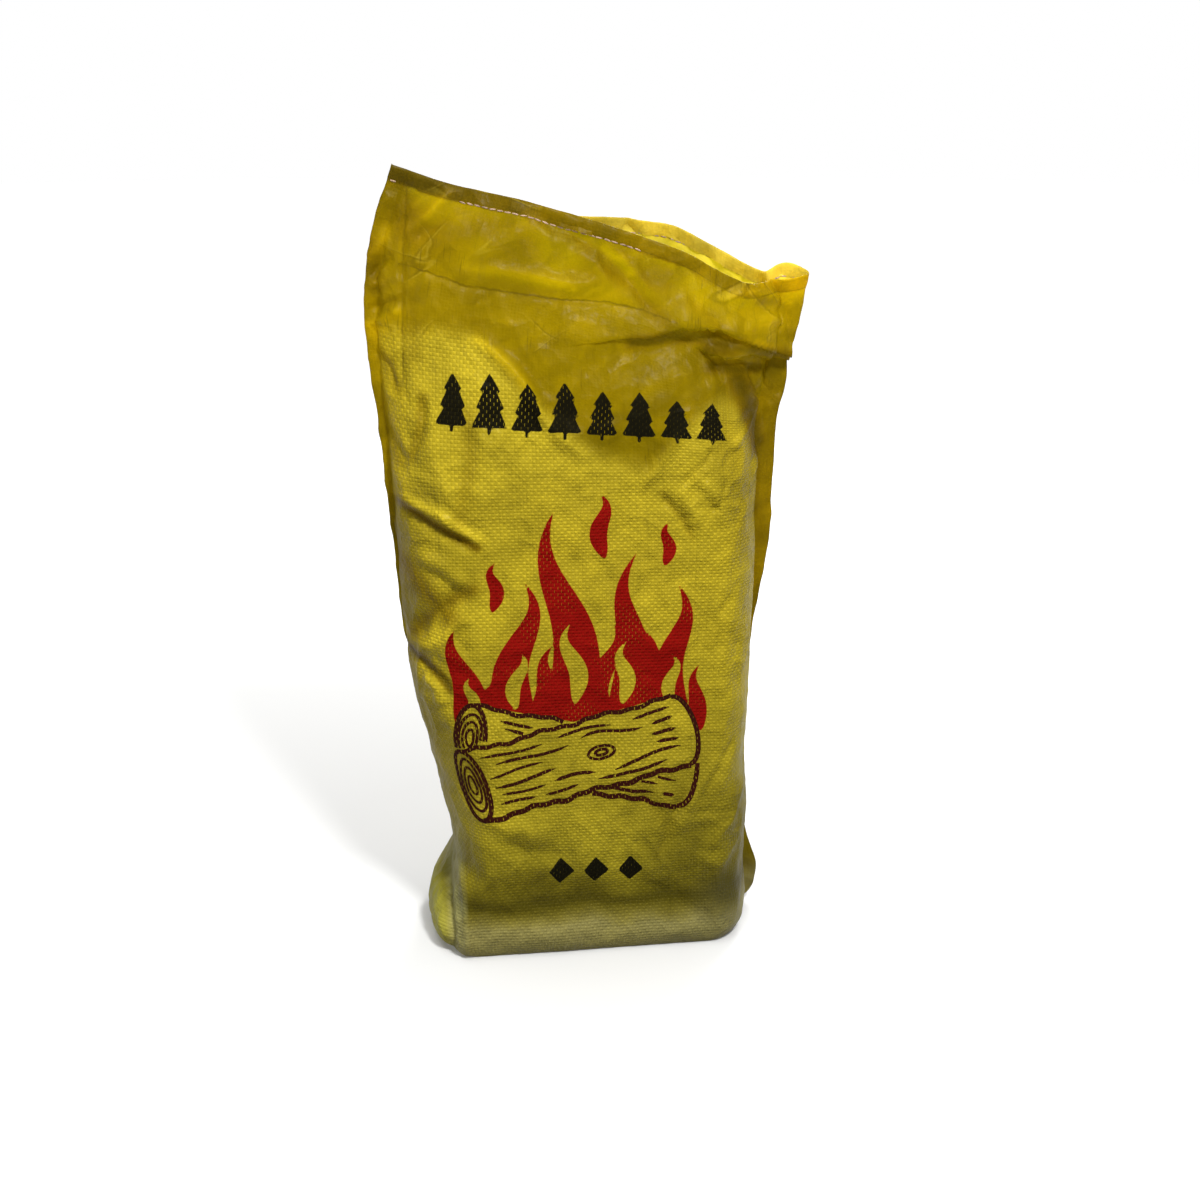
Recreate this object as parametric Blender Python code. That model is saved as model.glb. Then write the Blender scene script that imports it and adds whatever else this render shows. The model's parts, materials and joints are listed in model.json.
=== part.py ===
"""Woven sack of split firewood, standing open-mouthed on its base.

The sack is a flat tube of woven tape, 400 mm wide when empty, sewn shut at the bottom. Twelve split
billets stand in it in two tiers of six. The wood holds the lower part boxy, and the empty top leans
to the right over a tuck. Metres, +Z up, the front of the sack faces -Y, the origin is on the floor
under the middle of the sack.
"""

import math
import random
from collections import namedtuple

import bmesh
import bpy
import numpy as np

# The real cloth is a third of a millimetre. The wall here is thick enough to be a sound solid.
CLOTH = 0.0012
SIDE_WALL = 0.0032
FIN_HALF = 0.0022
RING_POINTS = 44
CURVE_SAMPLES = 360

# Cross-sections of the sack from the floor up. left and right are the side edges, lean the line of
# those edges in y, front and back the depths from it, roll the distance over which a side swells to
# full depth, fin the width of the strip at a side where both layers lie together, and puff how far
# the right strip opens again into a small loop.
FIELDS = "z left right front back roll_left roll_right fin_left fin_right puff lean"
Section = namedtuple("Section", FIELDS)
SECTIONS = (
    Section(0.000, -0.146, 0.139, 0.0750, 0.0750, 0.032, 0.040, 0.000, 0.000, 0.000, 0.000),
    Section(0.005, -0.154, 0.152, 0.0785, 0.0790, 0.032, 0.047, 0.000, 0.006, 0.000, 0.000),
    Section(0.016, -0.156, 0.160, 0.0800, 0.0805, 0.032, 0.052, 0.000, 0.012, 0.000, 0.000),
    Section(0.036, -0.152, 0.162, 0.0790, 0.0800, 0.034, 0.053, 0.000, 0.015, 0.000, 0.000),
    Section(0.058, -0.140, 0.156, 0.0780, 0.0800, 0.028, 0.047, 0.000, 0.011, 0.000, 0.000),
    Section(0.083, -0.128, 0.148, 0.0800, 0.0805, 0.028, 0.040, 0.000, 0.003, 0.000, 0.000),
    Section(0.124, -0.137, 0.146, 0.0805, 0.0805, 0.040, 0.038, 0.000, 0.000, 0.000, 0.000),
    Section(0.165, -0.146, 0.142, 0.0800, 0.0800, 0.048, 0.038, 0.000, 0.000, 0.000, 0.000),
    Section(0.205, -0.156, 0.144, 0.0780, 0.0785, 0.056, 0.040, 0.000, 0.000, 0.000, 0.000),
    Section(0.245, -0.166, 0.147, 0.0750, 0.0760, 0.062, 0.042, 0.000, 0.001, 0.000, 0.000),
    Section(0.285, -0.170, 0.153, 0.0725, 0.0735, 0.066, 0.050, 0.001, 0.005, 0.000, 0.000),
    Section(0.325, -0.173, 0.160, 0.0700, 0.0710, 0.068, 0.056, 0.002, 0.010, 0.000, 0.001),
    Section(0.380, -0.178, 0.167, 0.0665, 0.0675, 0.070, 0.064, 0.004, 0.016, 0.000, 0.002),
    Section(0.435, -0.183, 0.168, 0.0635, 0.0645, 0.074, 0.068, 0.006, 0.019, 0.000, 0.002),
    Section(0.480, -0.187, 0.169, 0.0590, 0.0600, 0.090, 0.080, 0.008, 0.022, 0.000, 0.003),
    Section(0.512, -0.191, 0.179, 0.0530, 0.0540, 0.116, 0.106, 0.009, 0.022, 0.000, 0.004),
    Section(0.541, -0.194, 0.180, 0.0470, 0.0480, 0.146, 0.136, 0.010, 0.016, 0.000, 0.005),
    Section(0.580, -0.1965, 0.191, 0.0400, 0.0420, 0.180, 0.160, 0.011, 0.020, 0.002, 0.006),
    Section(0.612, -0.194, 0.1965, 0.0340, 0.0380, 0.190, 0.176, 0.012, 0.040, 0.008, 0.007),
    Section(0.650, -0.187, 0.1965, 0.0300, 0.0360, 0.190, 0.180, 0.012, 0.042, 0.009, 0.008),
    Section(0.706, -0.168, 0.1965, 0.0120, 0.0140, 0.190, 0.180, 0.012, 0.042, 0.009, 0.009),
)
HEIGHTS = [section.z for section in SECTIONS]

# Height of the hem at shares of the width, from the left corner of the mouth to the right one.
HEM_SHARES = (0.00, 0.13, 0.33, 0.45, 0.56, 0.68, 0.77, 0.83, 0.89, 0.945, 1.00)
HEM_FRONT = (0.706, 0.691, 0.675, 0.662, 0.649, 0.632, 0.612, 0.601, 0.604, 0.605, 0.609)
HEM_BACK = (0.706, 0.686, 0.661, 0.659, 0.656, 0.650, 0.631, 0.618, 0.607, 0.621, 0.610)
# Rows of cloth lie level up to LEVEL_TO, and from there they lean until the top one follows the hem.
LEVEL_TO = 0.400
TOP = 0.660
HEM_WIDTH = 0.013
HEM_PROUD = 0.0008
ROWS = (
    0.000, 0.005, 0.016, 0.036, 0.058, 0.083, 0.124, 0.165, 0.205, 0.245, 0.285, 0.325, 0.365,
    0.405, 0.440, 0.470, 0.495, 0.515, 0.530, 0.542, 0.554, 0.567, 0.582, 0.600, 0.622,
)

# The tuck, where the empty top hangs over the full part. Its line runs from the middle of the front
# to the right side. Above it the cloth stands out, and below it the cloth draws in.
TUCK_INNER = (0.020, 0.566)
TUCK_OUTER = (0.178, 0.542)
TUCK_OUT = 0.011
TUCK_IN = 0.008
TUCK_HEIGHT = 0.034

# Firewood. A tier fills a grid of six cells: for the front, middle and back line, the four places
# along it as shares of half the width and half the depth of the space inside the sack.
BILLET_ENDS = ((CLOTH + 0.0003, 0.2440), (0.2443, 0.4900))
TIER_GRIDS = (
    (
        ((-0.88, -0.88), (-0.26, -0.99), (0.40, -0.99), (0.92, -0.90)),
        ((-0.94, 0.08), (-0.34, -0.10), (0.26, 0.12), (0.99, -0.06)),
        ((-0.86, 0.88), (-0.38, 0.99), (0.30, 0.99), (0.92, 0.90)),
    ),
    (
        ((-0.83, -0.81), (-0.36, -0.98), (0.24, -0.98), (0.85, -0.84)),
        ((-0.98, -0.10), (-0.24, 0.12), (0.36, -0.08), (0.95, 0.08)),
        ((-0.84, 0.82), (-0.30, 0.98), (0.34, 0.98), (0.85, 0.84)),
    ),
)
# Half width, middle and half depth of that space at the foot and the head of each tier.
TIER_SPACES = (
    ((0.1270, 0.007, 0.0770), (0.1480, -0.007, 0.0740)),
    ((0.1480, -0.009, 0.0725), (0.1510, -0.013, 0.0560)),
)
# Billet outlines in a unit cell, counter-clockwise. The bark is the arc towards the far corner of a
# quarter, or towards the far side of a slab.
QUARTER = ((0.01, 0.02), (0.98, 0.01), (0.99, 0.52), (0.86, 0.84), (0.52, 0.99), (0.02, 0.99))
SLAB = ((0.03, 0.05), (0.97, 0.01), (0.99, 0.78), (0.74, 0.97), (0.28, 0.99), (0.01, 0.84))
CORNER_DRIFT = 0.030
BILLET_GAP = 0.0010
BILLET_RINGS = 7
SPLIT_WAVE = 0.0010
END_SLOPE = 0.07
SEED = 15

CLOTH_COLOUR = (0.38, 0.28, 0.012, 1.0)
WOOD_COLOUR = (0.085, 0.032, 0.020, 1.0)


def clear_scene():
    for obj in list(bpy.data.objects):
        bpy.data.objects.remove(obj)


def make_material(name, colour, roughness):
    material = bpy.data.materials.new(name)
    material.use_nodes = True
    shader = material.node_tree.nodes["Principled BSDF"]
    shader.inputs["Base Color"].default_value = colour
    shader.inputs["Roughness"].default_value = roughness
    shader.inputs["Metallic"].default_value = 0.0
    return material


def smooth(share):
    share = min(max(share, 0.0), 1.0)
    return share * share * (3 - 2 * share)


def section_at(z):
    return Section(*(float(np.interp(z, HEIGHTS, column)) for column in zip(*SECTIONS)))


def half_depths(section, x, front, back, least):
    """Depths of the front and back cloth from the lean line, for an array of x."""
    from_left, from_right = x - section.left, section.right - x
    share = np.ones_like(x)
    for distance, fin, roll in (
        (from_left, section.fin_left, section.roll_left),
        (from_right, section.fin_right, section.roll_right),
    ):
        reach = np.clip((distance - fin) / (roll - fin), 0, 1)
        share = share * np.sqrt(1 - (1 - reach) ** 2)
    width = max(section.fin_right, 1e-6)
    loop = section.puff * np.sin(np.pi * np.clip(from_right / width, 0, 1))
    return np.maximum(front * share, least) + loop, np.maximum(back * share, least) + loop


def outline(section, inner):
    """Points round a section, evenly spaced on each face: front left to right, then the back."""
    thickness = CLOTH if inner else 0.0
    side = SIDE_WALL if inner else 0.0
    turn = np.linspace(0, math.pi, CURVE_SAMPLES)
    left, right = section.left + side, section.right - side
    x = left + (right - left) * (0.5 - 0.5 * np.cos(turn))
    least = FIN_HALF - thickness
    depths = half_depths(section, x, section.front - thickness, section.back - thickness, least)
    points = []
    for face, (sign, depth) in enumerate(zip((-1, 1), depths)):
        y = section.lean + sign * depth
        y[0] = y[-1] = section.lean
        reach = np.concatenate(([0.0], np.cumsum(np.hypot(np.diff(x), np.diff(y)))))
        even = np.linspace(0, reach[-1], RING_POINTS // 2 + 1)
        panel = list(zip(np.interp(even, reach, x), np.interp(even, reach, y)))
        points.extend(panel[:-1] if face == 0 else panel[:0:-1])
    return points


def tuck_push(x, z):
    """How far the tuck moves the front cloth out. Negative draws it in."""
    share = (x - TUCK_INNER[0]) / (TUCK_OUTER[0] - TUCK_INNER[0])
    line = TUCK_INNER[1] + (TUCK_OUTER[1] - TUCK_INNER[1]) * share
    above = min(max((z - line) / TUCK_HEIGHT, -1.0), 1.0)
    return smooth(share * 2) * math.sin(math.pi * above) * (TUCK_OUT if above >= 0 else TUCK_IN)


def ring(level, inner=False, proud=0.0):
    """One row of the sack wall as points in space."""
    slope = smooth((level - LEVEL_TO) / (TOP - LEVEL_TO))
    points = []
    for i in range(RING_POINTS):
        turn = i * 2 / RING_POINTS
        face, share = (0, turn) if turn < 1 else (1, 2 - turn)
        hem = float(np.interp(share, HEM_SHARES, HEM_BACK if face else HEM_FRONT))
        z = level + (hem - TOP) * slope
        section = section_at(z)
        x, y = outline(section, inner)[i]
        if inner:
            z += CLOTH * max(0.0, 1 - z / 0.03)
        elif share not in (0, 1):
            y += proud * (1 if face else -1)
        if face == 0:
            y -= tuck_push(x, z) * min(1.0, abs(y - section.lean) / 0.02)
        points.append((x, y, z))
    return points


def skin(bm, rings):
    """Walls between the rings, in order, and a flat cap on the first and the last."""
    loops = [[bm.verts.new(point) for point in points] for points in rings]
    for low, high in zip(loops, loops[1:]):
        count = len(low)
        for i in range(count):
            j = (i + 1) % count
            bm.faces.new((low[i], low[j], high[j], high[i]))
    bm.faces.new(loops[0][::-1])
    bm.faces.new(loops[-1])


def add_object(name, bm, material):
    bmesh.ops.triangulate(bm, faces=bm.faces[:])
    bmesh.ops.recalc_face_normals(bm, faces=bm.faces[:])
    mesh = bpy.data.meshes.new(name)
    bm.to_mesh(mesh)
    bm.free()
    mesh.materials.append(material)
    bpy.context.scene.collection.objects.link(bpy.data.objects.new(name, mesh))


def build_sack(material):
    outer = [ring(level) for level in ROWS]
    outer.append(ring(TOP - HEM_WIDTH))
    outer.append(ring(TOP - HEM_WIDTH + 0.0008, proud=HEM_PROUD))
    outer.append(ring(TOP, proud=HEM_PROUD))
    inner = [ring(level, inner=True) for level in (*ROWS, TOP - HEM_WIDTH, TOP)]
    bm = bmesh.new()
    skin(bm, outer + inner[::-1])
    add_object("sack", bm, material)


def cell_point(corners, u, v):
    """Bilinear place in a cell given its corners: near left, near right, far left, far right."""
    near_left, near_right, far_left, far_right = (np.array(corner) for corner in corners)
    near = near_left * (1 - u) + near_right * u
    far = far_left * (1 - u) + far_right * u
    return near * (1 - v) + far * v


def billet_outline(grid, row, column, rng):
    """Outline of a billet in shares of the tier's space, counter-clockwise."""
    cells = (grid[row], grid[row + 1])
    corners = (cells[0][column], cells[0][column + 1], cells[1][column], cells[1][column + 1])
    shape = SLAB if column == 1 else QUARTER
    points = []
    for u, v in shape:
        u += rng.uniform(-CORNER_DRIFT, 0) if u > 0.5 else rng.uniform(0, CORNER_DRIFT)
        v += rng.uniform(-CORNER_DRIFT, 0) if v > 0.5 else rng.uniform(0, CORNER_DRIFT)
        if column == 0:
            u = 1 - u
        if row == 0:
            v = 1 - v
        points.append(cell_point(corners, u, v))
    if (column == 0) != (row == 0):
        points.reverse()
    # A point halfway along every side lets the split faces bend.
    halves = [(a + b) / 2 for a, b in zip(points, points[1:] + points[:1])]
    return [point for pair in zip(points, halves) for point in pair]


def build_billet(name, tier, row, column, material, rng):
    shares = billet_outline(TIER_GRIDS[tier], row, column, rng)
    foot, head = BILLET_ENDS[tier]
    slopes = [(rng.uniform(-END_SLOPE, END_SLOPE), rng.uniform(-END_SLOPE, END_SLOPE)) for _ in range(2)]
    phases = [rng.uniform(0, math.tau) for _ in shares]
    drop = rng.uniform(0, 0.010) if tier else 0.0

    def place(share, along):
        low, high = TIER_SPACES[tier]
        half, middle, depth = (a + (b - a) * along for a, b in zip(low, high))
        return np.array((middle + half * share[0], depth * share[1]))

    lean_head = [float(np.dot(slopes[1], place(share, 1))) for share in shares]
    lean_foot = [float(np.dot(slopes[0], place(share, 0))) for share in shares]
    rings = []
    for k in range(BILLET_RINGS):
        along = k / (BILLET_RINGS - 1)
        spots = [place(share, along) for share in shares]
        centre = sum(spots) / len(spots)
        points = []
        for spot, phase, down, up in zip(spots, phases, lean_head, lean_foot):
            arm = centre - spot
            inward = BILLET_GAP + SPLIT_WAVE * (1 + math.sin(phase + 5 * along))
            spot = spot + arm * (inward / np.linalg.norm(arm))
            bottom = foot + (up - min(lean_foot) if tier else 0.0)
            top = head - drop - (max(lean_head) - down)
            points.append((*spot, bottom + (top - bottom) * along))
        rings.append(points)
    bm = bmesh.new()
    skin(bm, rings)
    add_object(name, bm, material)


def build_billets(material):
    rng = random.Random(SEED)
    number = 0
    for tier in range(2):
        for row in range(2):
            for column in range(3):
                number += 1
                build_billet(f"billet_{number:02d}", tier, row, column, material, rng)


def main():
    clear_scene()
    build_sack(make_material("woven_tape_cloth", CLOTH_COLOUR, 0.55))
    build_billets(make_material("split_hardwood", WOOD_COLOUR, 0.85))


main()
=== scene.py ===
"""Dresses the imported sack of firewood: woven cloth with its print and stitches, split billets, stage."""

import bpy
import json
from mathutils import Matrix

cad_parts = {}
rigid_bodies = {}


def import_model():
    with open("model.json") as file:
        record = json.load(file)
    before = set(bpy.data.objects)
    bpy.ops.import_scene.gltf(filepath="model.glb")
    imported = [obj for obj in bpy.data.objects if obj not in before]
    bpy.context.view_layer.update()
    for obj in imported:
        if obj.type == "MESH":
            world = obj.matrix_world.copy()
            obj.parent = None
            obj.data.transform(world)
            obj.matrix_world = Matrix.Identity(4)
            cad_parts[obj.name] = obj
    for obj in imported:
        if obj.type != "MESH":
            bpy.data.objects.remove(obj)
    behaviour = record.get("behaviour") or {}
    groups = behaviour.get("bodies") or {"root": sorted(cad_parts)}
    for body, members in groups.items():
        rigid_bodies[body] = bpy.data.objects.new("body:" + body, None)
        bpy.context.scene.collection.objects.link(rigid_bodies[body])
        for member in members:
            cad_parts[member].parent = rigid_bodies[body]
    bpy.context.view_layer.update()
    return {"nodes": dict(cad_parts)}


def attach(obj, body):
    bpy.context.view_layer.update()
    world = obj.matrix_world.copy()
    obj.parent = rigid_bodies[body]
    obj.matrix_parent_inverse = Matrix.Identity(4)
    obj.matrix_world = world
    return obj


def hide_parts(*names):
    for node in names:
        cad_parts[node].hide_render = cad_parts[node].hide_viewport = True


bl_info = {
    "name": "Sack of Firewood",
    "version": (1, 0, 0),
    "blender": (4, 5, 0),
    "location": "3D View > Sidebar > Firewood",
    "description": "Builds a woven tape sack packed with split billets round its packed frame",
    "category": "Object",
}

import json
import math
import random
from functools import lru_cache, partial

import bmesh
import bpy
import numpy as np
from bpy.props import FloatProperty, FloatVectorProperty, IntProperty, PointerProperty
from mathutils import Matrix, Vector, noise

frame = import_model()



def table(text, heads):
    """Rows of a text table: that many values, and then the (x, z) places of a line. # starts a comment."""
    rows = []
    for row in text.splitlines():
        numbers = [float(word) for word in row.partition("#")[0].split()]
        if numbers:
            rows.append((*numbers[:heads], np.reshape(numbers[heads:], (-1, 2))))
    return rows


# ---- the sack's form, the same numbers as its solid has: millimetres, and one row per height ----

FIELDS = "z left right front back roll_left roll_right fin_left fin_right puff lean".split()
SECTIONS = np.array([row.split() for row in """
   0    -146     139     75     75   32   40   0   0  0  0
   5    -154     152   78.5     79   32   47   0   6  0  0
  16    -156     160     80   80.5   32   52   0  12  0  0
  36    -152     162     79     80   34   53   0  15  0  0
  58    -140     156     78     80   28   47   0  11  0  0
  83    -128     148     80   80.5   28   40   0   3  0  0
 124    -137     146   80.5   80.5   40   38   0   0  0  0
 165    -146     142     80     80   48   38   0   0  0  0
 205    -156     144     78   78.5   56   40   0   0  0  0
 245    -166     147     75     76   62   42   0   1  0  0
 285    -170     153   72.5   73.5   66   50   1   5  0  0
 325    -173     160     70     71   68   56   2  10  0  1
 380    -178     167   66.5   67.5   70   64   4  16  0  2
 435    -183     168   63.5   64.5   74   68   6  19  0  2
 480    -187     169     59     60   90   80   8  22  0  3
 512    -191     179     53     54  116  106   9  22  0  4
 541    -194     180     47     48  146  136  10  16  0  5
 580  -196.5     191     40     42  180  160  11  20  2  6
 612    -194   196.5     34     38  190  176  12  40  8  7
 650    -187   196.5     30     36  190  180  12  42  9  8
 706    -168   196.5     12     14  190  180  12  42  9  9
""".strip().splitlines()], float) / 1000

# From here on in metres. Half of what two layers pressed together at a side measure.
FIN_HALF = 0.0016
# The hem's height along each panel, by shares of its width from the left.
HEM_SHARES = (0.00, 0.13, 0.33, 0.45, 0.56, 0.68, 0.77, 0.83, 0.89, 0.945, 1.00)
HEM_FRONT = (0.706, 0.691, 0.675, 0.662, 0.649, 0.632, 0.612, 0.601, 0.604, 0.605, 0.609)
HEM_BACK = (0.706, 0.686, 0.661, 0.659, 0.656, 0.650, 0.631, 0.618, 0.607, 0.621, 0.610)
# The wall's rows are level up to LEVEL_TO. From there they slant more and more, and TOP becomes the hem.
LEVEL_TO = 0.400
TOP = 0.660
FORM_TOP = 0.72
FLOOR_GAP = 0.0004
# The flat cut: half the tube's width, its length, the cloth under the sack, and the turned hem.
PANEL = 0.400
UNDERSIDE = 0.072
HEM_WIDTH = 0.0125

FRONT_COLUMNS = 236
BACK_COLUMNS = 152
UNDER_ROWS = 12
WALL_ROWS = 232
HEM_ROWS = 5



def linear(code):
    """Linear RGBA of an sRGB hex value."""
    channels = [int(code[i:i + 2], 16) / 255 for i in (1, 3, 5)]
    return (*(c / 12.92 if c <= 0.04045 else ((c + 0.055) / 1.055) ** 2.4 for c in channels), 1.0)


def add_node(tree, kind, *inputs, named=(), output=None, **settings):
    """Adds a shader node with its settings and links, and returns its output: the named one, or the first in
    use. The inputs, in the order of those in use or by name, are sockets to link or plain values."""
    node = tree.nodes.new("ShaderNode" + kind)
    for name, value in settings.items():
        setattr(node, name, value)
    in_use = [socket for socket in node.inputs if socket.enabled]
    for socket, value in (*zip(in_use, inputs), *((node.inputs[name], v) for name, v in dict(named).items())):
        if isinstance(value, bpy.types.NodeSocket):
            tree.links.new(value, socket)
        else:
            socket.default_value = value
    return node.outputs[output] if output else next((o for o in node.outputs if o.enabled), None)


def smooth(value):
    """An eased step from 0 to 1."""
    value = np.clip(value, 0, 1)
    return value * value * (3 - 2 * value)


def blurred(values, reach):
    """Values smoothed along their first axis by a bell curve of that many steps."""
    steps = np.arange(-3 * reach, 3 * reach + 1)
    bell = np.exp(-0.5 * (steps / reach) ** 2)
    padded = np.pad(values, (3 * reach, 3 * reach), mode="reflect", reflect_type="odd")
    return np.convolve(padded, bell / bell.sum(), mode="valid")


@lru_cache(maxsize=1)
def section_table():
    """Section values at heights 1 mm apart, with the corners between the rows eased."""
    found = {"z": np.linspace(0, FORM_TOP, round(FORM_TOP * 1000) + 1)}
    for i, name in enumerate(FIELDS[1:], 1):
        found[name] = blurred(np.interp(found["z"], SECTIONS[:, 0], SECTIONS[:, i]), 5)
    return found


def outlines(sections, shares):
    """x and y of the front and back cloth at shares of each panel's width, one row per height."""
    turn = 0.5 - 0.5 * np.cos(np.linspace(0, math.pi, 320))
    found = np.empty((2, 2, len(sections["z"]), len(shares)))
    for row in range(len(sections["z"])):
        s = {name: values[row] for name, values in sections.items()}
        x = s["left"] + (s["right"] - s["left"]) * turn
        fill = np.ones_like(x)
        for distance, fin, roll in (
            (x - s["left"], s["fin_left"], s["roll_left"]),
            (s["right"] - x, s["fin_right"], s["roll_right"]),
        ):
            reach = np.clip((distance - fin) / (roll - fin), 0, 1)
            fill = fill * np.sqrt(1 - (1 - reach) ** 2)
        width = max(s["fin_right"], 1e-6)
        loop = s["puff"] * np.sin(np.pi * np.clip((s["right"] - x) / width, 0, 1))
        for face, (sign, depth) in enumerate(((-1, s["front"]), (1, s["back"]))):
            y = s["lean"] + sign * (np.maximum(depth * fill, FIN_HALF) + loop)
            y[0] = y[-1] = s["lean"]
            run = np.concatenate(([0.0], np.cumsum(np.hypot(np.diff(x), np.diff(y)))))
            found[face, 0, row] = np.interp(shares * run[-1], run, x)
            found[face, 1, row] = np.interp(shares * run[-1], run, y)
    return found


def hem_line(shares, face):
    """Heights of the hem at shares of a panel's width."""
    dense = np.linspace(0, 1, 401)
    line = blurred(np.interp(dense, HEM_SHARES, HEM_BACK if face else HEM_FRONT), 8)
    return np.interp(shares, dense, line)


class SackForm:
    """Where each point of the cloth lies, by level up the sack and turn round it from the left edge."""

    def __init__(self, turns):
        self.turns = np.asarray(turns)
        self.face = (self.turns >= 0.5).astype(int)
        self.shares = np.where(self.face == 0, 2 * self.turns, 2 - 2 * self.turns)
        self.heights = np.linspace(0, FORM_TOP, 241)
        fine = section_table()
        coarse = {name: np.interp(self.heights, fine["z"], values) for name, values in fine.items()}
        lines = outlines(coarse, self.shares)
        columns = np.arange(len(self.turns))
        self.x = lines[self.face, 0, :, columns].T
        self.y = lines[self.face, 1, :, columns].T
        self.hem = np.where(self.face == 0, hem_line(self.shares, 0), hem_line(self.shares, 1))

    def rows(self, levels):
        """Points of the wall, rows by columns."""
        levels = np.asarray(levels)[:, None]
        slope = smooth((levels - LEVEL_TO) / (TOP - LEVEL_TO))
        z = levels + (self.hem[None, :] - TOP) * slope
        place = np.clip(z / self.heights[1], 0, len(self.heights) - 1.001)
        low = place.astype(int)
        part = place - low
        columns = np.arange(len(self.turns))[None, :]
        x = self.x[low, columns] * (1 - part) + self.x[low + 1, columns] * part
        y = self.y[low, columns] * (1 - part) + self.y[low + 1, columns] * part
        return np.stack((x, y, z), axis=-1)

    def underside(self, parts):
        """Points under the sack, from the seam across it at part 0 to the wall's foot at part 1."""
        foot = self.rows([0.0])[0]
        seam = foot.copy()
        seam[:, 0] = self.x[0].min() + (self.x[0].max() - self.x[0].min()) * self.shares
        seam[:, 1] = 0.0
        parts = np.asarray(parts)[:, None, None]
        points = seam + (foot - seam) * parts
        points[..., 2] = FLOOR_GAP
        return points



# ---- folds, in millimetres across (x) and up (z) the sack ----

# The tuck: the empty top folds over at a crease, and a small pleat stands out below it. For each of the
# two lips: its line, how strongly it shows across the sack, and how far the cloth stands out and slips
# down at distances above the line.
TUCK_LIPS = (
    (
        ((-30, 556), (22, 561), (47, 561), (74, 571), (93, 570), (112, 566), (134, 556), (181, 538)),
        ((-40, 0), (-10, 0.2), (30, 0.5), (60, 0.8), (76, 1), (150, 1), (176, 0.6), (196, 0.3)),
        ((-40, 0), (-24, -5.5), (-13, -8), (-1.5, -2.5), (0.8, 6.5), (4, 10), (11, 8), (24, 3), (46, 0)),
        ((-30, 0), (-7, 2.5), (-1.5, 4.5), (0.8, -4.5), (5, -3.5), (14, -1.5), (46, 0)),
    ),
    (
        ((84, 552), (96, 546), (114, 541), (137, 541), (160, 535), (182, 532), (196, 530)),
        ((84, 0), (98, 0.7), (112, 1), (165, 1), (182, 0.6), (196, 0.3)),
        ((-44, 0), (-26, -4), (-10, -7.5), (-1.5, -5), (0.6, 4.5), (3, 9), (8, 10), (13, 6), (18, 0)),
        ((-44, 0), (-7, 2.5), (-1.5, 4.5), (0.6, -3.5), (6, -3), (17, 0)),
    ),
)
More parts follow.
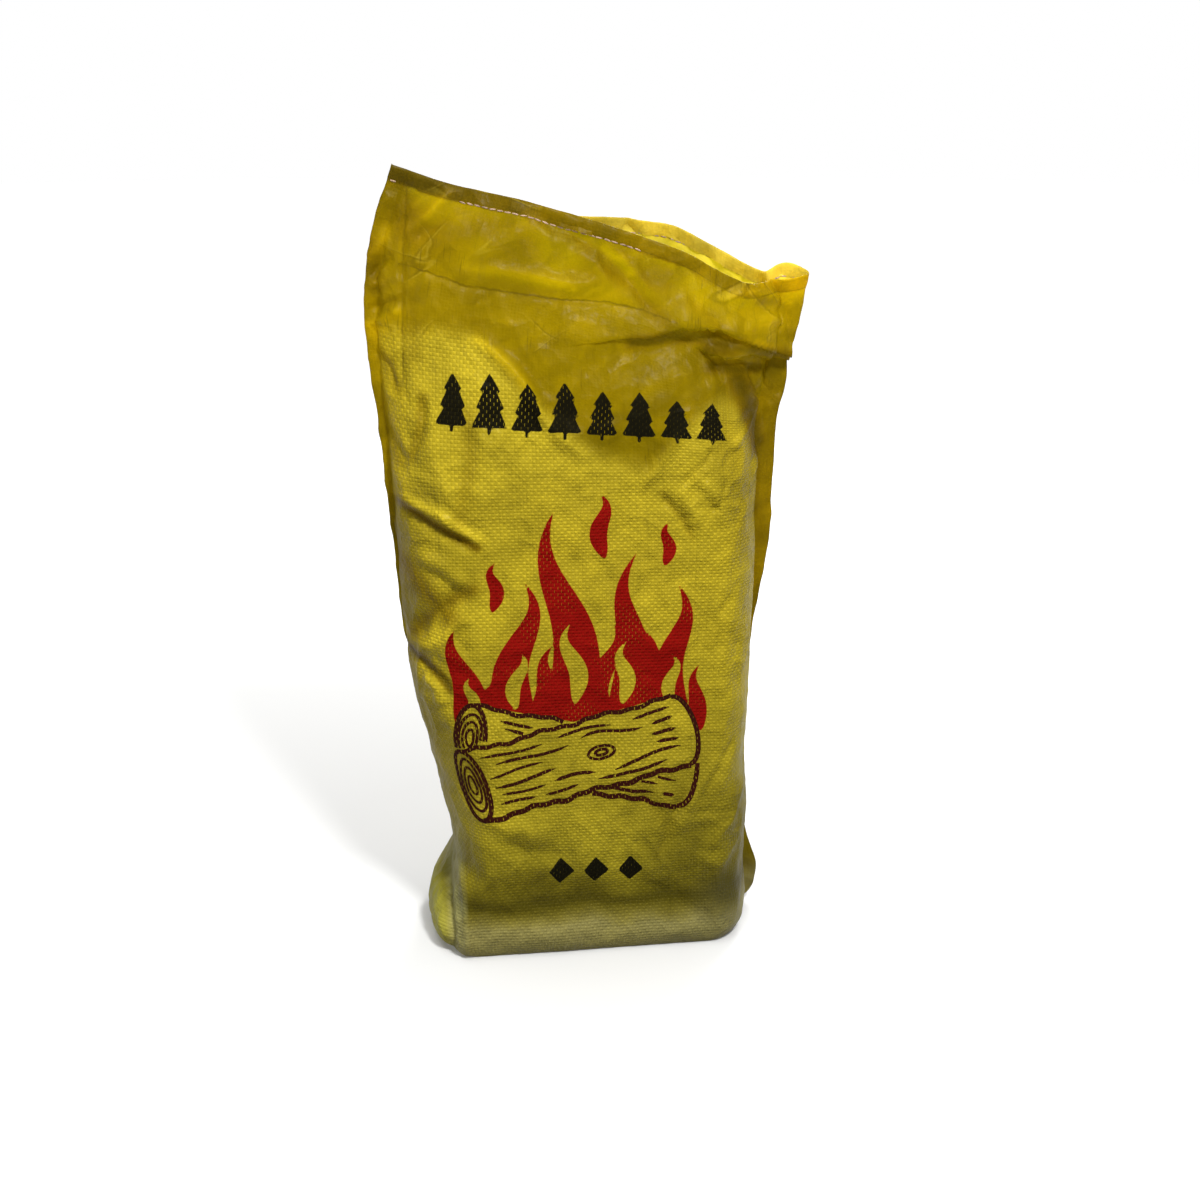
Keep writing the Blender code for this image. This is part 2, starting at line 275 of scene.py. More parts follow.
# Rows: half width, height (negative for a valley), 1 where it is sharp, and the fold's line.
FRONT_FOLDS = table("""
# the old crease and the ridge below it
2.6 -2.4 1  -165 624  -148 620  -110 606  -66 600  -35 595  8 592  36 586  66 575
9 1.6 0  -120 618  -60 612  0 604  40 598
7 6 1  -104 565  -88 552  -73 537  -61 522  -51 499  -34 480  -6 456
12 -2.6 0  -84 566  -62 541  -40 515  -12 482
# left side
3 -2.6 1  -156 700  -159 660  -162 636  -164 586  -166 544  -163 500
5 5 1  -172 427  -151 419  -130 408  -104 391
7 -5.5 1  -170 418  -151 408  -131 397  -108 386
4 -3 1  -181 486  -172 470  -166 454
5 -3.6 1  -149 514  -153 487  -160 463
6 2.4 0  -140 508  -142 480  -148 456
8 -2.6 0  -113 500  -112 461  -122 412
5 -3.2 1  -154 365  -140 358  -126 344
6 2.8 0  -160 380  -140 372  -118 352
8 -5.5 0  -163 303  -147 325  -128 341  -112 350
6 3.2 1  -158 294  -146 296  -132 312  -118 330
5 -3.4 1  -172 283  -159 281  -144 270  -132 261
6 4.4 0  -151 272  -143 259  -139 242
9 2.6 0  -158 254  -146 240  -138 220
# flap at the left edge
4 2.8 1  -195 603  -182 609  -175 622
4 2.8 1  -192 628  -181 639  -172 652
4 3 1  -192 571  -179 577  -166 587
4 -3 1  -193 584  -183 589  -166 595
4 -2.8 1  -190 614  -180 622  -170 634
4 -2.6 1  -190 552  -178 540  -170 516
# right side
6 3.4 1  72 480  61 469  47 448  32 431
4 -3.4 1  54 430  58 423  69 410  80 390
5 2.4 0  68 432  78 416  88 398
4 -2.8 1  101 470  92 455  80 445  67 432
4 2.4 1  83 444  96 431  107 414
4 -2.4 1  114 442  105 420  94 405
5 -2.6 1  130 430  140 414  146 388
4 2.4 1  152 505  132 480  116 462
4 2.2 1  160 470  146 450  138 430
5 -1.8 1  125 350  113 331  104 316
# beside the tuck
4 -3.2 1  103 545  108 532  111 518
4 2.6 1  95 542  99 528  102 512
5 -4 1  139 540  145 520  156 495  158 470
# left foot
4.5 3.4 1  -128 128  -127 100  -126 69  -125 44  -125 -8
4 -6 1  -136 96  -139 70  -140 40  -136 -6
7 3.4 0  -148 70  -150 40  -146 6
3 -2 1  -156 30  -146 16  -136 8
# foot
17 -4 0  -130 66  -39 62  44 60  132 55
14 2.8 0  -130 22  -39 18  44 18  126 18
# under the print
7 -3.4 0  34 160  52 134  63 115
6 -3 1  72 154  61 119  50 95
6 3 1  104 183  84 152  70 120
6 -3 1  124 206  107 179  92 149
7 3 1  136 160  116 122  96 94
8 -2.6 0  128 96  116 62  112 30
8 2.4 0  -112 150  -86 128  -50 118
7 -2.4 0  -104 120  -70 104  -36 98
# over the print
14 -1.4 0  -60 380  -20 372  30 378
# empty upper part
5 3.4 1  -155 654  -138 665  -121 684
5 -3.2 1  -153 646  -132 656  -119 668
7 4 1  -110 624  -69 618  -43 612  -20 605  -3 608  16 606
7 -2.4 0  -100 612  -60 605  -20 597  10 598
6 3 1  -26 636  -4 626  8 614  18 605
6 -4 0  -60 670  -21 650  4 635
7 -4.6 1  0 638  15 627  30 610  44 591  56 580
6 3.8 1  6 642  22 630  36 612  50 596
11 2.6 0  -140 650  -100 640  -60 634
7 -3.4 0  80 594  102 580  113 563
4 3.4 1  109 590  133 595  158 591  181 581
4 -3.4 1  120 580  147 583  178 574
4 2.8 1  128 563  142 571  164 570  180 558
3 -3 1  174 588  177 564  181 541
""", 3)
BACK_FOLDS = table("""
10 3 1  -120 480  -60 540  20 600
9 -2.8 0  -60 470  0 530  60 560
6 -4 1  60 560  110 548  170 540
7 4 0  50 574  110 562  176 550
8 -3 0  -150 300  -110 260  -60 250
8 2.6 1  120 330  70 290  40 240
5 2.6 1  30 660  52 640  60 620
5 -2.6 1  70 645  88 628  96 606
5 2.6 1  100 632  118 614  124 594
16 -2.6 0  -118 62  -39 58  44 56  126 56
""", 3)


def along_line(places, x, z):
    """Distance to a line of (x, z) places in millimetres, and the share of its length at the nearest spot."""
    lengths = np.hypot(*np.diff(places, axis=0).T)
    starts = np.concatenate(([0.0], np.cumsum(lengths)))
    nearest, where = np.full(x.shape, 1e9), np.zeros(x.shape)
    for a, b, start, length in zip(places, places[1:], starts, lengths):
        share = np.clip(((x - a[0]) * (b[0] - a[0]) + (z - a[1]) * (b[1] - a[1])) / length**2, 0, 1)
        distance = np.hypot(x - a[0] - share * (b[0] - a[0]), z - a[1] - share * (b[1] - a[1]))
        closer = distance < nearest
        nearest = np.where(closer, distance, nearest)
        where = np.where(closer, (start + share * length) / starts[-1], where)
    return nearest, where


def outward(points):
    """Unit normals of a grid of points that closes on itself across its columns."""
    across = np.roll(points, -1, axis=1) - np.roll(points, 1, axis=1)
    up = np.gradient(points, axis=0)
    normal = np.cross(across, up)
    return normal / np.maximum(np.linalg.norm(normal, axis=-1, keepdims=True), 1e-9)


def add_tuck(points, face):
    """Folds the front's empty top over, by its two lips."""
    x, z = points[..., 0] * 1000, points[..., 2] * 1000
    for line, grip, out, slip in TUCK_LIPS:
        above = z - np.interp(x, *zip(*line))
        share = np.interp(x, *zip(*grip)) * (face == 0)[None, :]
        points[..., 1] -= share * np.interp(above, *zip(*out)) / 1000
        points[..., 2] += share * np.interp(above, *zip(*slip)) / 1000


def add_folds(points, face):
    """Pushes the cloth out at ridges and in at valleys. A fold fades towards its ends."""
    x, z = points[..., 0] * 1000, points[..., 2] * 1000
    push = np.zeros(x.shape)
    for side, folds in enumerate((FRONT_FOLDS, BACK_FOLDS)):
        for width, height, sharp, places in folds:
            distance, where = along_line(places, x, z)
            reach = distance / width
            shape = np.maximum(0, 1 - reach / 1.6) ** 1.7 if sharp else np.exp(-reach**2)
            taper = np.clip(np.sin(np.pi * np.clip(where, 0.02, 0.98)) * 1.8, 0, 1)
            push += height * shape * taper * (face == side)[None, :]
    points += outward(points) * (push / 1000)[..., None]


def crumpled(points, slack):
    """Millimetres of small creases, longer up the sack than across it and stronger where no wood fills it."""
    push = np.empty(points.shape[:2])
    for row in range(points.shape[0]):
        for column in range(points.shape[1]):
            x, y, z = points[row, column]
            spot = Vector((x * 16 + 9, y * 16, z * 10))
            wave = noise.noise(spot)
            crease = 1 - abs(noise.noise(spot * 2.3 + Vector((31, 5, 0)))) * 4
            fine = 1 - abs(noise.noise(spot * 5.1 + Vector((3, 55, 8)))) * 4
            empty = min(1.0, max(0.0, (z - 0.52) / 0.08))
            loose = 0.5 + 1.6 * slack[row, column]
            sharp = max(crease, -0.6) * 0.6 + max(fine, -0.4) * 0.26
            push[row, column] = wave * (2.4 - 0.9 * empty) + loose * sharp
    return push


def cloth_levels():
    """Levels of the wall's rows, closer together where the tuck uses up cloth."""
    fine = np.linspace(0, TOP, 1321)
    density = 1 + 1.8 * np.exp(-((fine - 0.550) / 0.034) ** 2) + np.exp(-((fine - 0.01) / 0.015) ** 2)
    run = np.concatenate(([0.0], np.cumsum((density[1:] + density[:-1]) / 2)))
    return np.interp(np.linspace(0, run[-1], WALL_ROWS + 1), run, fine)


def cloth_turns():
    """Turns round the sack of the grid's columns, closer together on the front."""
    front = np.linspace(0, 0.5, FRONT_COLUMNS + 1)
    back = np.linspace(0.5, 1, BACK_COLUMNS + 1)[1:-1]
    return np.concatenate((front, back))


# ---- the print, in millimetres on the flat front panel: across from PRINT_MIDDLE, up from the foot ----

PRINT_MIDDLE = 0.190
# Fir trees in a row: middle, foot, height, half width.
FIR_TREES = (
    (-106, 486, 43, 14), (-75, 485, 46, 15), (-44, 484, 42, 14), (-13, 483, 47, 15),
    (18, 483, 43, 14), (49, 483, 46, 15), (80, 484, 42, 14), (110, 485, 45, 14),
)
FIR_OUTLINE = (
    (0.10, 0.00), (0.10, 0.12), (1.00, 0.12), (0.52, 0.42), (0.80, 0.42), (0.38, 0.70), (0.60, 0.70),
    (0.0, 1.0),
)
# Flame tongues: middle and foot of the base, half width, height, lean, curl. Inner ones are left bare.
FLAMES = (
    (-101, 230, 15, 92, -8, 8), (-82, 232, 12, 58, 12, -6), (-58, 232, 17, 132, 6, -12),
    (-38, 232, 12, 74, 12, 6), (-12, 230, 21, 196, -12, 14), (10, 230, 14, 92, 14, -9),
    (34, 228, 17, 158, 10, 12), (56, 228, 14, 88, -6, -8), (78, 224, 16, 134, -2, -11),
    (95, 220, 9, 62, 6, 5),
)
INNER_FLAMES = (
    (-96, 244, 5, 34, -2, 4), (-59, 248, 6.5, 52, 4, -6), (-8, 250, 8, 74, -4, 8),
    (33, 248, 7, 58, 4, 7), (77, 244, 6, 48, -2, -6),
)
LOOSE_LICKS = ((-78, 336, 6, 46, 6, 6), (16, 380, 7.5, 60, -4, -7), (66, 372, 5.5, 40, 6, 5))
# Drawn logs: middle, angle in degrees, length, radius. The second lies behind the first.
DRAWN_LOGS = ((-12, 198, 13, 196, 33), (-10, 200, -14, 190, 31))
# Diamonds under the logs: middle, half width, half height.
DIAMONDS = ((-36, 89, 12, 14), (-4, 88, 12, 14), (28, 87, 12, 14))
# The drawn logs' ends: how wide against their height. NO_INK is a depth well outside any ink.
END_WIDTH = 0.42
NO_INK = -50.0


def polygon_depth(polygon, x, y):
    """Distance inside a closed outline. Negative outside it."""
    polygon = np.asarray(polygon, float)
    nearest = np.full(x.shape, 1e9)
    inside = np.zeros(x.shape, bool)
    for a, b in zip(polygon, np.roll(polygon, -1, axis=0)):
        span = b - a
        dx, dy = x - a[0], y - a[1]
        share = np.clip((dx * span[0] + dy * span[1]) / max(span @ span, 1e-9), 0, 1)
        nearest = np.minimum(nearest, np.hypot(dx - share * span[0], dy - share * span[1]))
        if a[1] != b[1]:
            crosses = (a[1] > y) != (b[1] > y)
            inside ^= crosses & (x < span[0] * (y - a[1]) / span[1] + a[0])
    return np.where(inside, nearest, -nearest)


def fir_polygon(middle, foot, height, half):
    """Outline of a fir tree."""
    right = [(middle + half * u, foot + height * v) for u, v in FIR_OUTLINE]
    return right + [(2 * middle - u, v) for u, v in right[-2::-1]]


def flame_polygon(middle, foot, half, height, lean, curl, root=0.30):
    """A tongue of flame about a curling line. root is how far into its swell it starts, near 0 for a drop."""
    share = np.linspace(0, 1, 36)
    centre = middle + lean * share**1.4 + curl * np.sin(math.tau * share**1.15) * (0.35 + 0.65 * share)
    width = half * np.sin(np.pi * np.clip(root + (1 - root) * share**0.75, 0, 1)) ** 1.1
    up = foot + height * share
    tilt = np.gradient(centre) / np.gradient(up)
    side = np.stack((np.ones_like(tilt), -tilt), axis=1) / np.hypot(1, tilt)[:, None] * width[:, None]
    line = np.stack((centre, up), axis=1)
    return np.concatenate((line - side, (line + side)[::-1]))


def log_frame(log, x, y):
    """Places along and across a drawn log."""
    middle, height, angle = log[:3]
    angle = math.radians(angle)
    dx, dy = x - middle, y - height
    return dx * math.cos(angle) + dy * math.sin(angle), dy * math.cos(angle) - dx * math.sin(angle)


def log_depth(log, x, y):
    """Distance inside a drawn log's outline, end faces included. Negative outside it."""
    length, radius = log[3:]
    along, across = log_frame(log, x, y)
    over = np.maximum(np.abs(along) - length / 2, 0) / END_WIDTH
    return radius - np.hypot(over, across)


def print_depths(x, y):
    """Distance inside the black and the red ink for places on the panel."""
    black, red = np.full(x.shape, NO_INK), np.full(x.shape, NO_INK)
    # Only places near a shape are measured, because the cloth has some 98,000 of them.
    for tree in FIR_TREES:
        near = (abs(x - tree[0]) < 24) & (y > 470) & (y < 545)
        black[near] = np.maximum(black[near], polygon_depth(fir_polygon(*tree), x[near], y[near]))
    for middle, height, half, tall in DIAMONDS:
        slant = half * tall / math.hypot(half, tall)
        black = np.maximum(black, slant * (1 - abs(x - middle) / half - abs(y - height) / tall))
    near = (abs(x) < 140) & (y > 200) & (y < 470)
    for flame in FLAMES:
        red[near] = np.maximum(red[near], polygon_depth(flame_polygon(*flame), x[near], y[near]))
    for flame in INNER_FLAMES:
        red[near] = np.minimum(red[near], -polygon_depth(flame_polygon(*flame, 0.03), x[near], y[near]))
    for flame in LOOSE_LICKS:
        red[near] = np.maximum(red[near], polygon_depth(flame_polygon(*flame, 0.03), x[near], y[near]))
    behind = np.maximum(log_depth(DRAWN_LOGS[0], x, y), log_depth(DRAWN_LOGS[1], x, y))
    return black, np.minimum(red, -behind - 1.0)


def log_strokes(log, seed, knot):
    """Pen strokes of a drawn log on the panel, as (places, widths)."""
    middle, height, angle, length, radius = log
    rng = random.Random(seed)
    turn = math.radians(angle)
    strokes = []

    def stroke(points, width, taper=True):
        points = np.array(points, float)
        along, across = points.T
        places = np.stack((
            middle + along * math.cos(turn) - across * math.sin(turn),
            height + along * math.sin(turn) + across * math.cos(turn),
        ), axis=1)
        share = np.linspace(0, 1, len(points))
        thinned = np.clip(np.minimum(share, 1 - share) * 7, 0.25, 1) if taper else np.ones(len(points))
        widths = width * thinned
        strokes.append((places, widths))

    def ring(at, wide, tall, width, wobble=0.0):
        angles = np.linspace(0, math.tau, 44)
        uneven = 1 + wobble * np.sin(3 * angles + seed)
        along, across = at[0] + wide * uneven * np.cos(angles), at[1] + tall * uneven * np.sin(angles)
        stroke(np.stack((along, across), 1), width, False)

    run = np.linspace(-length / 2, length / 2, 60)
    for side, width in ((1, 3.4), (-1, 4.2)):
        bark = radius + 1.3 * np.sin(run * 0.11 + seed) + 0.8 * np.sin(run * 0.31 + 2 * seed)
        stroke(np.stack((run, side * bark), 1), width, False)
    half_turn = np.linspace(-math.pi / 2, math.pi / 2, 24)
    far_end = length / 2 + END_WIDTH * radius * np.cos(half_turn), radius * np.sin(half_turn)
    stroke(np.stack(far_end, 1), 3.6, False)
    for scale, width in ((1.0, 3.4), (0.74, 2.2), (0.50, 2.0), (0.26, 2.0)):
        wobble = 0.0 if scale == 1 else 0.05
        ring((-length / 2, 0), END_WIDTH * radius * scale, radius * scale, width, wobble)
    for share in (-0.70, -0.42, -0.14, 0.16, 0.44, 0.70):
        at = -length / 2 + 0.5 * radius + rng.uniform(0, 14)
        while at < length / 2 - 12:
            reach = min(rng.uniform(28, 74), length / 2 - 4 - at)
            line = np.linspace(at, at + reach, 16)
            bend = share * radius + 1.5 * np.sin(line * 0.075 + 5 * share + seed)
            if knot:
                near = np.exp(-(((line - knot) / 20) ** 2))
                bend = bend + np.sign(bend) * near * 7 * (1 - abs(share))
            if not (knot and abs(share) < 0.2 and abs(at + reach / 2 - knot) < 34):
                stroke(np.stack((line, bend), 1), rng.uniform(1.9, 2.9))
            at += reach + rng.uniform(7, 20)
    if knot:
        ring((knot, 0), 12, 6.0, 2.2)
        ring((knot, 0), 5.5, 2.6, 2.4)
    return strokes


def visible_runs(places, widths, cover):
    """The stretches of a stroke that the log in front doesn't hide."""
    keep = log_depth(cover, places[:, 0], places[:, 1]) < -2.0
    runs, start = [], None
    for i, shown in enumerate(list(keep) + [False]):
        if shown and start is None:
            start = i
        elif not shown and start is not None:
            if i - start > 2:
                runs.append((places[start:i], widths[start:i]))
            start = None
    return runs


# ---- the cloth as a grid, ready for its meshes ----


class Cloth:
    """The shaped cloth: points by row and column, and where each lies on the flat cut."""

    def __init__(self):
        self.turns = cloth_turns()
        form = SackForm(self.turns)
        self.face = form.face
        levels = cloth_levels()
        wall = form.rows(levels)
        add_tuck(wall, self.face)
        under = form.underside(np.linspace(0, 1, UNDER_ROWS + 1)[:-1])
        self.points = np.concatenate((under, wall))
        add_folds(self.points, self.face)
        steps = np.linalg.norm(np.diff(wall[:, self.face == 0], axis=0), axis=-1).mean(axis=1)
        run = np.concatenate(([0.0], np.cumsum(steps)))
        self.up = np.concatenate((np.linspace(0, UNDERSIDE, UNDER_ROWS + 1)[:-1], UNDERSIDE + run))
        self.across = self.turns * 2 * PANEL

    def ease_floor(self):
        """Lifts what came under the floor."""
        self.points[..., 2] = np.maximum(self.points[..., 2], FLOOR_GAP)

    def with_hem(self):
        """Adds the turned hem: a swell above the seam, and the cloth folded back down inside."""
        top, normal = self.points[-1], outward(self.points)[-1]
        down = self.up[-1] - self.up
        swell = np.where(down < HEM_WIDTH, 0.0005, 0.0)
        swell = swell - 0.0007 * np.exp(-(((down - HEM_WIDTH) / 0.0012) ** 2))
        self.points = self.points + outward(self.points) * swell[:, None, None]
        drop = self.points[-2] - self.points[-1]
        drop /= np.maximum(np.linalg.norm(drop, axis=-1, keepdims=True), 1e-9)
        turned = [top + normal * a + drop * b for a, b in (
            (0.0002, -0.0003), (-0.0005, 0.0), (-0.0009, 0.002), (-0.0009, 0.007), (-0.0008, 0.0125))]
        self.points = np.concatenate((self.points, np.array(turned)))
        self.up = np.concatenate((self.up, self.up[-1] + np.array((0.0003, 0.001, 0.003, 0.008, 0.0135))))

    def at(self, across, up, lift):
        """Points on the cloth's outer side at places on the flat cut."""
        column = np.interp(across, np.append(self.across, 2 * PANEL), np.arange(len(self.across) + 1))
        row = np.interp(up, self.up, np.arange(len(self.up)))
        normal = outward(self.points)
        c, r = np.floor(column).astype(int), np.minimum(np.floor(row).astype(int), len(self.up) - 2)
        fc, fr = (column - c)[..., None], (row - r)[..., None]
        width = len(self.across)
        found = 0
        for grid, scale in ((self.points, 1.0), (normal, lift)):
            near = grid[r, c % width] * (1 - fc) + grid[r, (c + 1) % width] * fc
            far = grid[r + 1, c % width] * (1 - fc) + grid[r + 1, (c + 1) % width] * fc
            found = found + (near * (1 - fr) + far * fr) * scale
        return found


# The cloth solver: how stiff the cloth is, how much of it is spare, its steps, and how far it may move.
BENDING = 0.6
SPARE_CLOTH = 0.045
SETTLE_STEPS = 14
MOST_SETTLING = 0.006


def settled(cloth):
    """The cloth let go for a moment in Blender's cloth solver: a little too big for its form, it buckles."""
    rows, columns = cloth.points.shape[:2]
    row, column = np.arange(0, rows, 2), np.arange(0, columns, 2)
    coarse = cloth.points[np.ix_(row, column)]
    places = {
        "row_place": np.repeat(np.arange(len(row))[:, None], len(column), 1) + 0.0,
        "column_place": np.repeat(np.arange(len(column))[None, :], len(row), 0) + 0.0,
    }
    mesh = sheet_mesh("settling_cloth", coarse, cloth.across[column], cloth.up[row], places)
    piece = new_object("settling_cloth", mesh, [])
    count = len(mesh.vertices)
    at = np.empty((2, count))
    for i, name in enumerate(places):
        mesh.attributes[name].data.foreach_get("value", at[i])
    at = np.round(at).astype(int)
    hold, spare = piece.vertex_groups.new(name="hold"), piece.vertex_groups.new(name="spare")
    grips, slack = hold_and_spare(coarse, cloth.face[column])
    for i in range(count):
        spot = at[0][i], at[1][i]
        hold.add([i], float(grips[spot]), "REPLACE")
        spare.add([i], float(slack[spot]), "REPLACE")
    solver = piece.modifiers.new("Cloth", "CLOTH")
    solver.settings.quality = 6
    solver.settings.mass = 0.08
    solver.settings.tension_stiffness = solver.settings.compression_stiffness = 45
    solver.settings.shear_stiffness = 18
    solver.settings.bending_stiffness = BENDING
    solver.settings.shrink_min, solver.settings.shrink_max = 0.0, -SPARE_CLOTH
    solver.settings.vertex_group_shrink = "spare"
    solver.settings.vertex_group_mass = "hold"
    solver.settings.pin_stiffness = 1.0
    solver.settings.effector_weights.gravity = 0
    solver.collision_settings.use_collision = False
    solver.collision_settings.use_self_collision = False
    scene = bpy.context.scene
    for step in range(1, SETTLE_STEPS + 1):
        scene.frame_set(step)
    found = piece.evaluated_get(bpy.context.evaluated_depsgraph_get())
    spots = np.empty(count * 3)
    found.data.vertices.foreach_get("co", spots)
    moved = coarse.copy()
    moved[at[0], at[1]] = spots.reshape(-1, 3)
    moved[0] = coarse[0]
    scene.frame_set(1)
    bpy.data.objects.remove(piece)
    bpy.data.meshes.remove(mesh)
    shift = moved - coarse
    reach = np.linalg.norm(shift, axis=-1, keepdims=True)
    shift *= np.minimum(1, MOST_SETTLING / np.maximum(reach, 1e-9))
    fine = np.empty((rows, len(column), 3))
    every = np.arange(rows)
    for axis in range(3):
        for c in range(len(column)):
            fine[:, c, axis] = np.interp(every, row, shift[:, c, axis])
    closed = np.concatenate((fine, fine[:, :1]), axis=1)
    spread = np.append(column, columns)
    for r in range(rows):
        for axis in range(3):
            cloth.points[r, :, axis] += np.interp(np.arange(columns), spread, closed[r, :, axis])


# Where the cloth has room to buckle: face, middle x and z in metres, reach, share of SPARE_CLOTH.
SLACK_SPOTS = (
    (0, -0.150, 0.420, 0.070, 1.0), (0, -0.150, 0.290, 0.065, 1.0), (0, -0.178, 0.600, 0.030, 1.0),
    (0, -0.178, 0.670, 0.030, 1.0), (0, 0.110, 0.440, 0.090, 0.9), (0, 0.130, 0.300, 0.070, 0.8),
    (0, 0.120, 0.120, 0.090, 0.8), (0, -0.150, 0.040, 0.040, 0.8), (0, -0.090, 0.500, 0.060, 0.8),
    (1, 0.000, 0.450, 0.200, 0.80), (1, 0.000, 0.200, 0.200, 0.70),
)


def hold_and_spare(points, face):
    """How firmly the solver holds each point to the form, and its share of the spare cloth."""
    x, z = points[..., 0], points[..., 2]
    full = smooth((0.54 - z) / 0.10)
    grips = 0.040 + 0.030 * full
    grips = np.maximum(grips, 0.5 * smooth((np.abs(x) - 0.150) / 0.03) * (0.3 + 0.7 * full))
    grips[-1] = 0.5
    grips[-3:-1] = np.maximum(grips[-3:-1], 0.25)
    grips = np.where(z < 0.004, 1.0, grips)
    slack = 0.55 + 0 * x
    for side, middle, height, reach, share in SLACK_SPOTS:
        near = np.exp(-((x - middle) ** 2 + (z - height) ** 2) / reach**2)
        slack = np.maximum(slack, share * near * (face == side)[None, :])
    return grips, slack


@lru_cache(maxsize=1)
def shaped_cloth():
    """The finished cloth, worked out once for every piece that lies on it."""
    cloth = Cloth()
    push = crumpled(cloth.points, hold_and_spare(cloth.points, cloth.face)[1])
    wall = smooth(cloth.points[..., 2] / 0.03)
    cloth.points += outward(cloth.points) * (push * 0.001 * (0.25 + 0.75 * wall))[..., None]
    cloth.ease_floor()
    settled(cloth)
    cloth.ease_floor()
    cloth.with_hem()
    return cloth


# Where wood stands right behind the front cloth: below this line, in millimetres across and up the sack.
WOOD_LINE = (
    (-200, 567), (-133, 570), (-108, 566), (-96, 558), (-59, 512), (0, 464), (43, 450), (88, 496), (110, 508),
    (126, 500), (142, 476), (160, 462), (200, 450),
)
# The line of the old crease that crosses the upper part, places (x, z), and the upright one near the left
# edge, places (z, x).
STRAIN_LINE = ((-167, 625), (-148, 620), (-110, 606), (-66, 600), (-35, 595), (8, 592), (36, 586), (70, 573))
EDGE_LINE = ((520, -166), (586, -164), (636, -162), (660, -159), (700, -156))


# Painted shade, where folds would shade the cloth or two layers keep the light from coming through, and
# painted highlights, where the cloth would catch the light. Rows: half width, share, and the stroke's places.
PAINTED_SHADE = table("""
6.5 1.75  30 557  62 561  90 560  120 552  165 538
7 1.3  96 550  118 548  146 545  180 537
6 1.8  100 535  128 529  150 528
12 1.8  126 522  134 506  142 486  150 462
6 1.1  150 462  153 430  153 390
4 0.8  160 540  180 533
9 0.8  -60 668  -21 650  4 636  20 622  34 606  48 588  58 576
6 0.55  -152 650  -132 658  -120 670
22 1.3  -150 658  -110 652  -66 644
9 0.35  44 604  76 592  104 590
17 1.35  0 628  30 622  56 612
10 0.9  -187 640  -188 604
9 0.3  -158 628  -158 590  -156 550
8 0.4  80 592  102 579  113 563
6 0.25  -100 612  -50 601  0 596
4 0.5  -193 586  -183 590  -168 596
4 0.45  -192 616  -182 624  -170 636
5 0.5  -190 556  -178 543  -170 518
5 0.5  -186 500  -177 476  -170 456
5 0.55  -150 514  -153 487  -161 462
4 1.2  -172 421  -151 410  -131 399  -108 387
8 0.35  -113 500  -112 461  -122 412
11 0.8  -170 366  -152 344  -134 326
7 0.8  -163 303  -147 325  -128 341  -112 350
4 1.75  -175 288  -159 283  -144 273  -134 261
3 0.4  54 430  58 423  69 410  80 390
20 0.3  112 480  132 440  130 390
7 0.4  34 160  52 134  63 115
6 0.35  72 154  61 119  50 95
""", 2)
PAINTED_HIGHLIGHTS = table("""
4 0.9  -102 562  -88 552  -73 537  -61 522  -53 502
4 0.6  -110 622  -69 617  -43 611  -20 604
4 0.75  9 636  24 627  31 616
4 0.6  -155 656  -138 667  -121 684
7 0.45  116 482  126 468  130 446
4 0.5  -193 603  -182 609  -175 622
4 0.5  -192 571  -179 577  -167 586
4 0.45  -192 628  -181 639  -173 651
10 0.75  -184 566  -180 530  -175 480  -171 440
5 0.65  -172 430  -151 421  -130 410  -106 395
8 0.85  -158 270  -146 261  -137 244
7 0.8  -174 298  -156 300  -136 308
2 0.6  104 557  123 558  146 553  166 546
14 0.8  156 606  176 602  196 600
3 0.7  110 592  133 597  158 593  180 583
12 0.55  92 586  132 574  160 572
""", 2)


def painted(strokes, x, z):
    """The strongest of some soft strokes at each place."""
    found = np.zeros(x.shape)
    for half, share, places in strokes:
        found = np.maximum(found, share * np.exp(-((along_line(places, x, z)[0] / half) ** 2)))
    return found


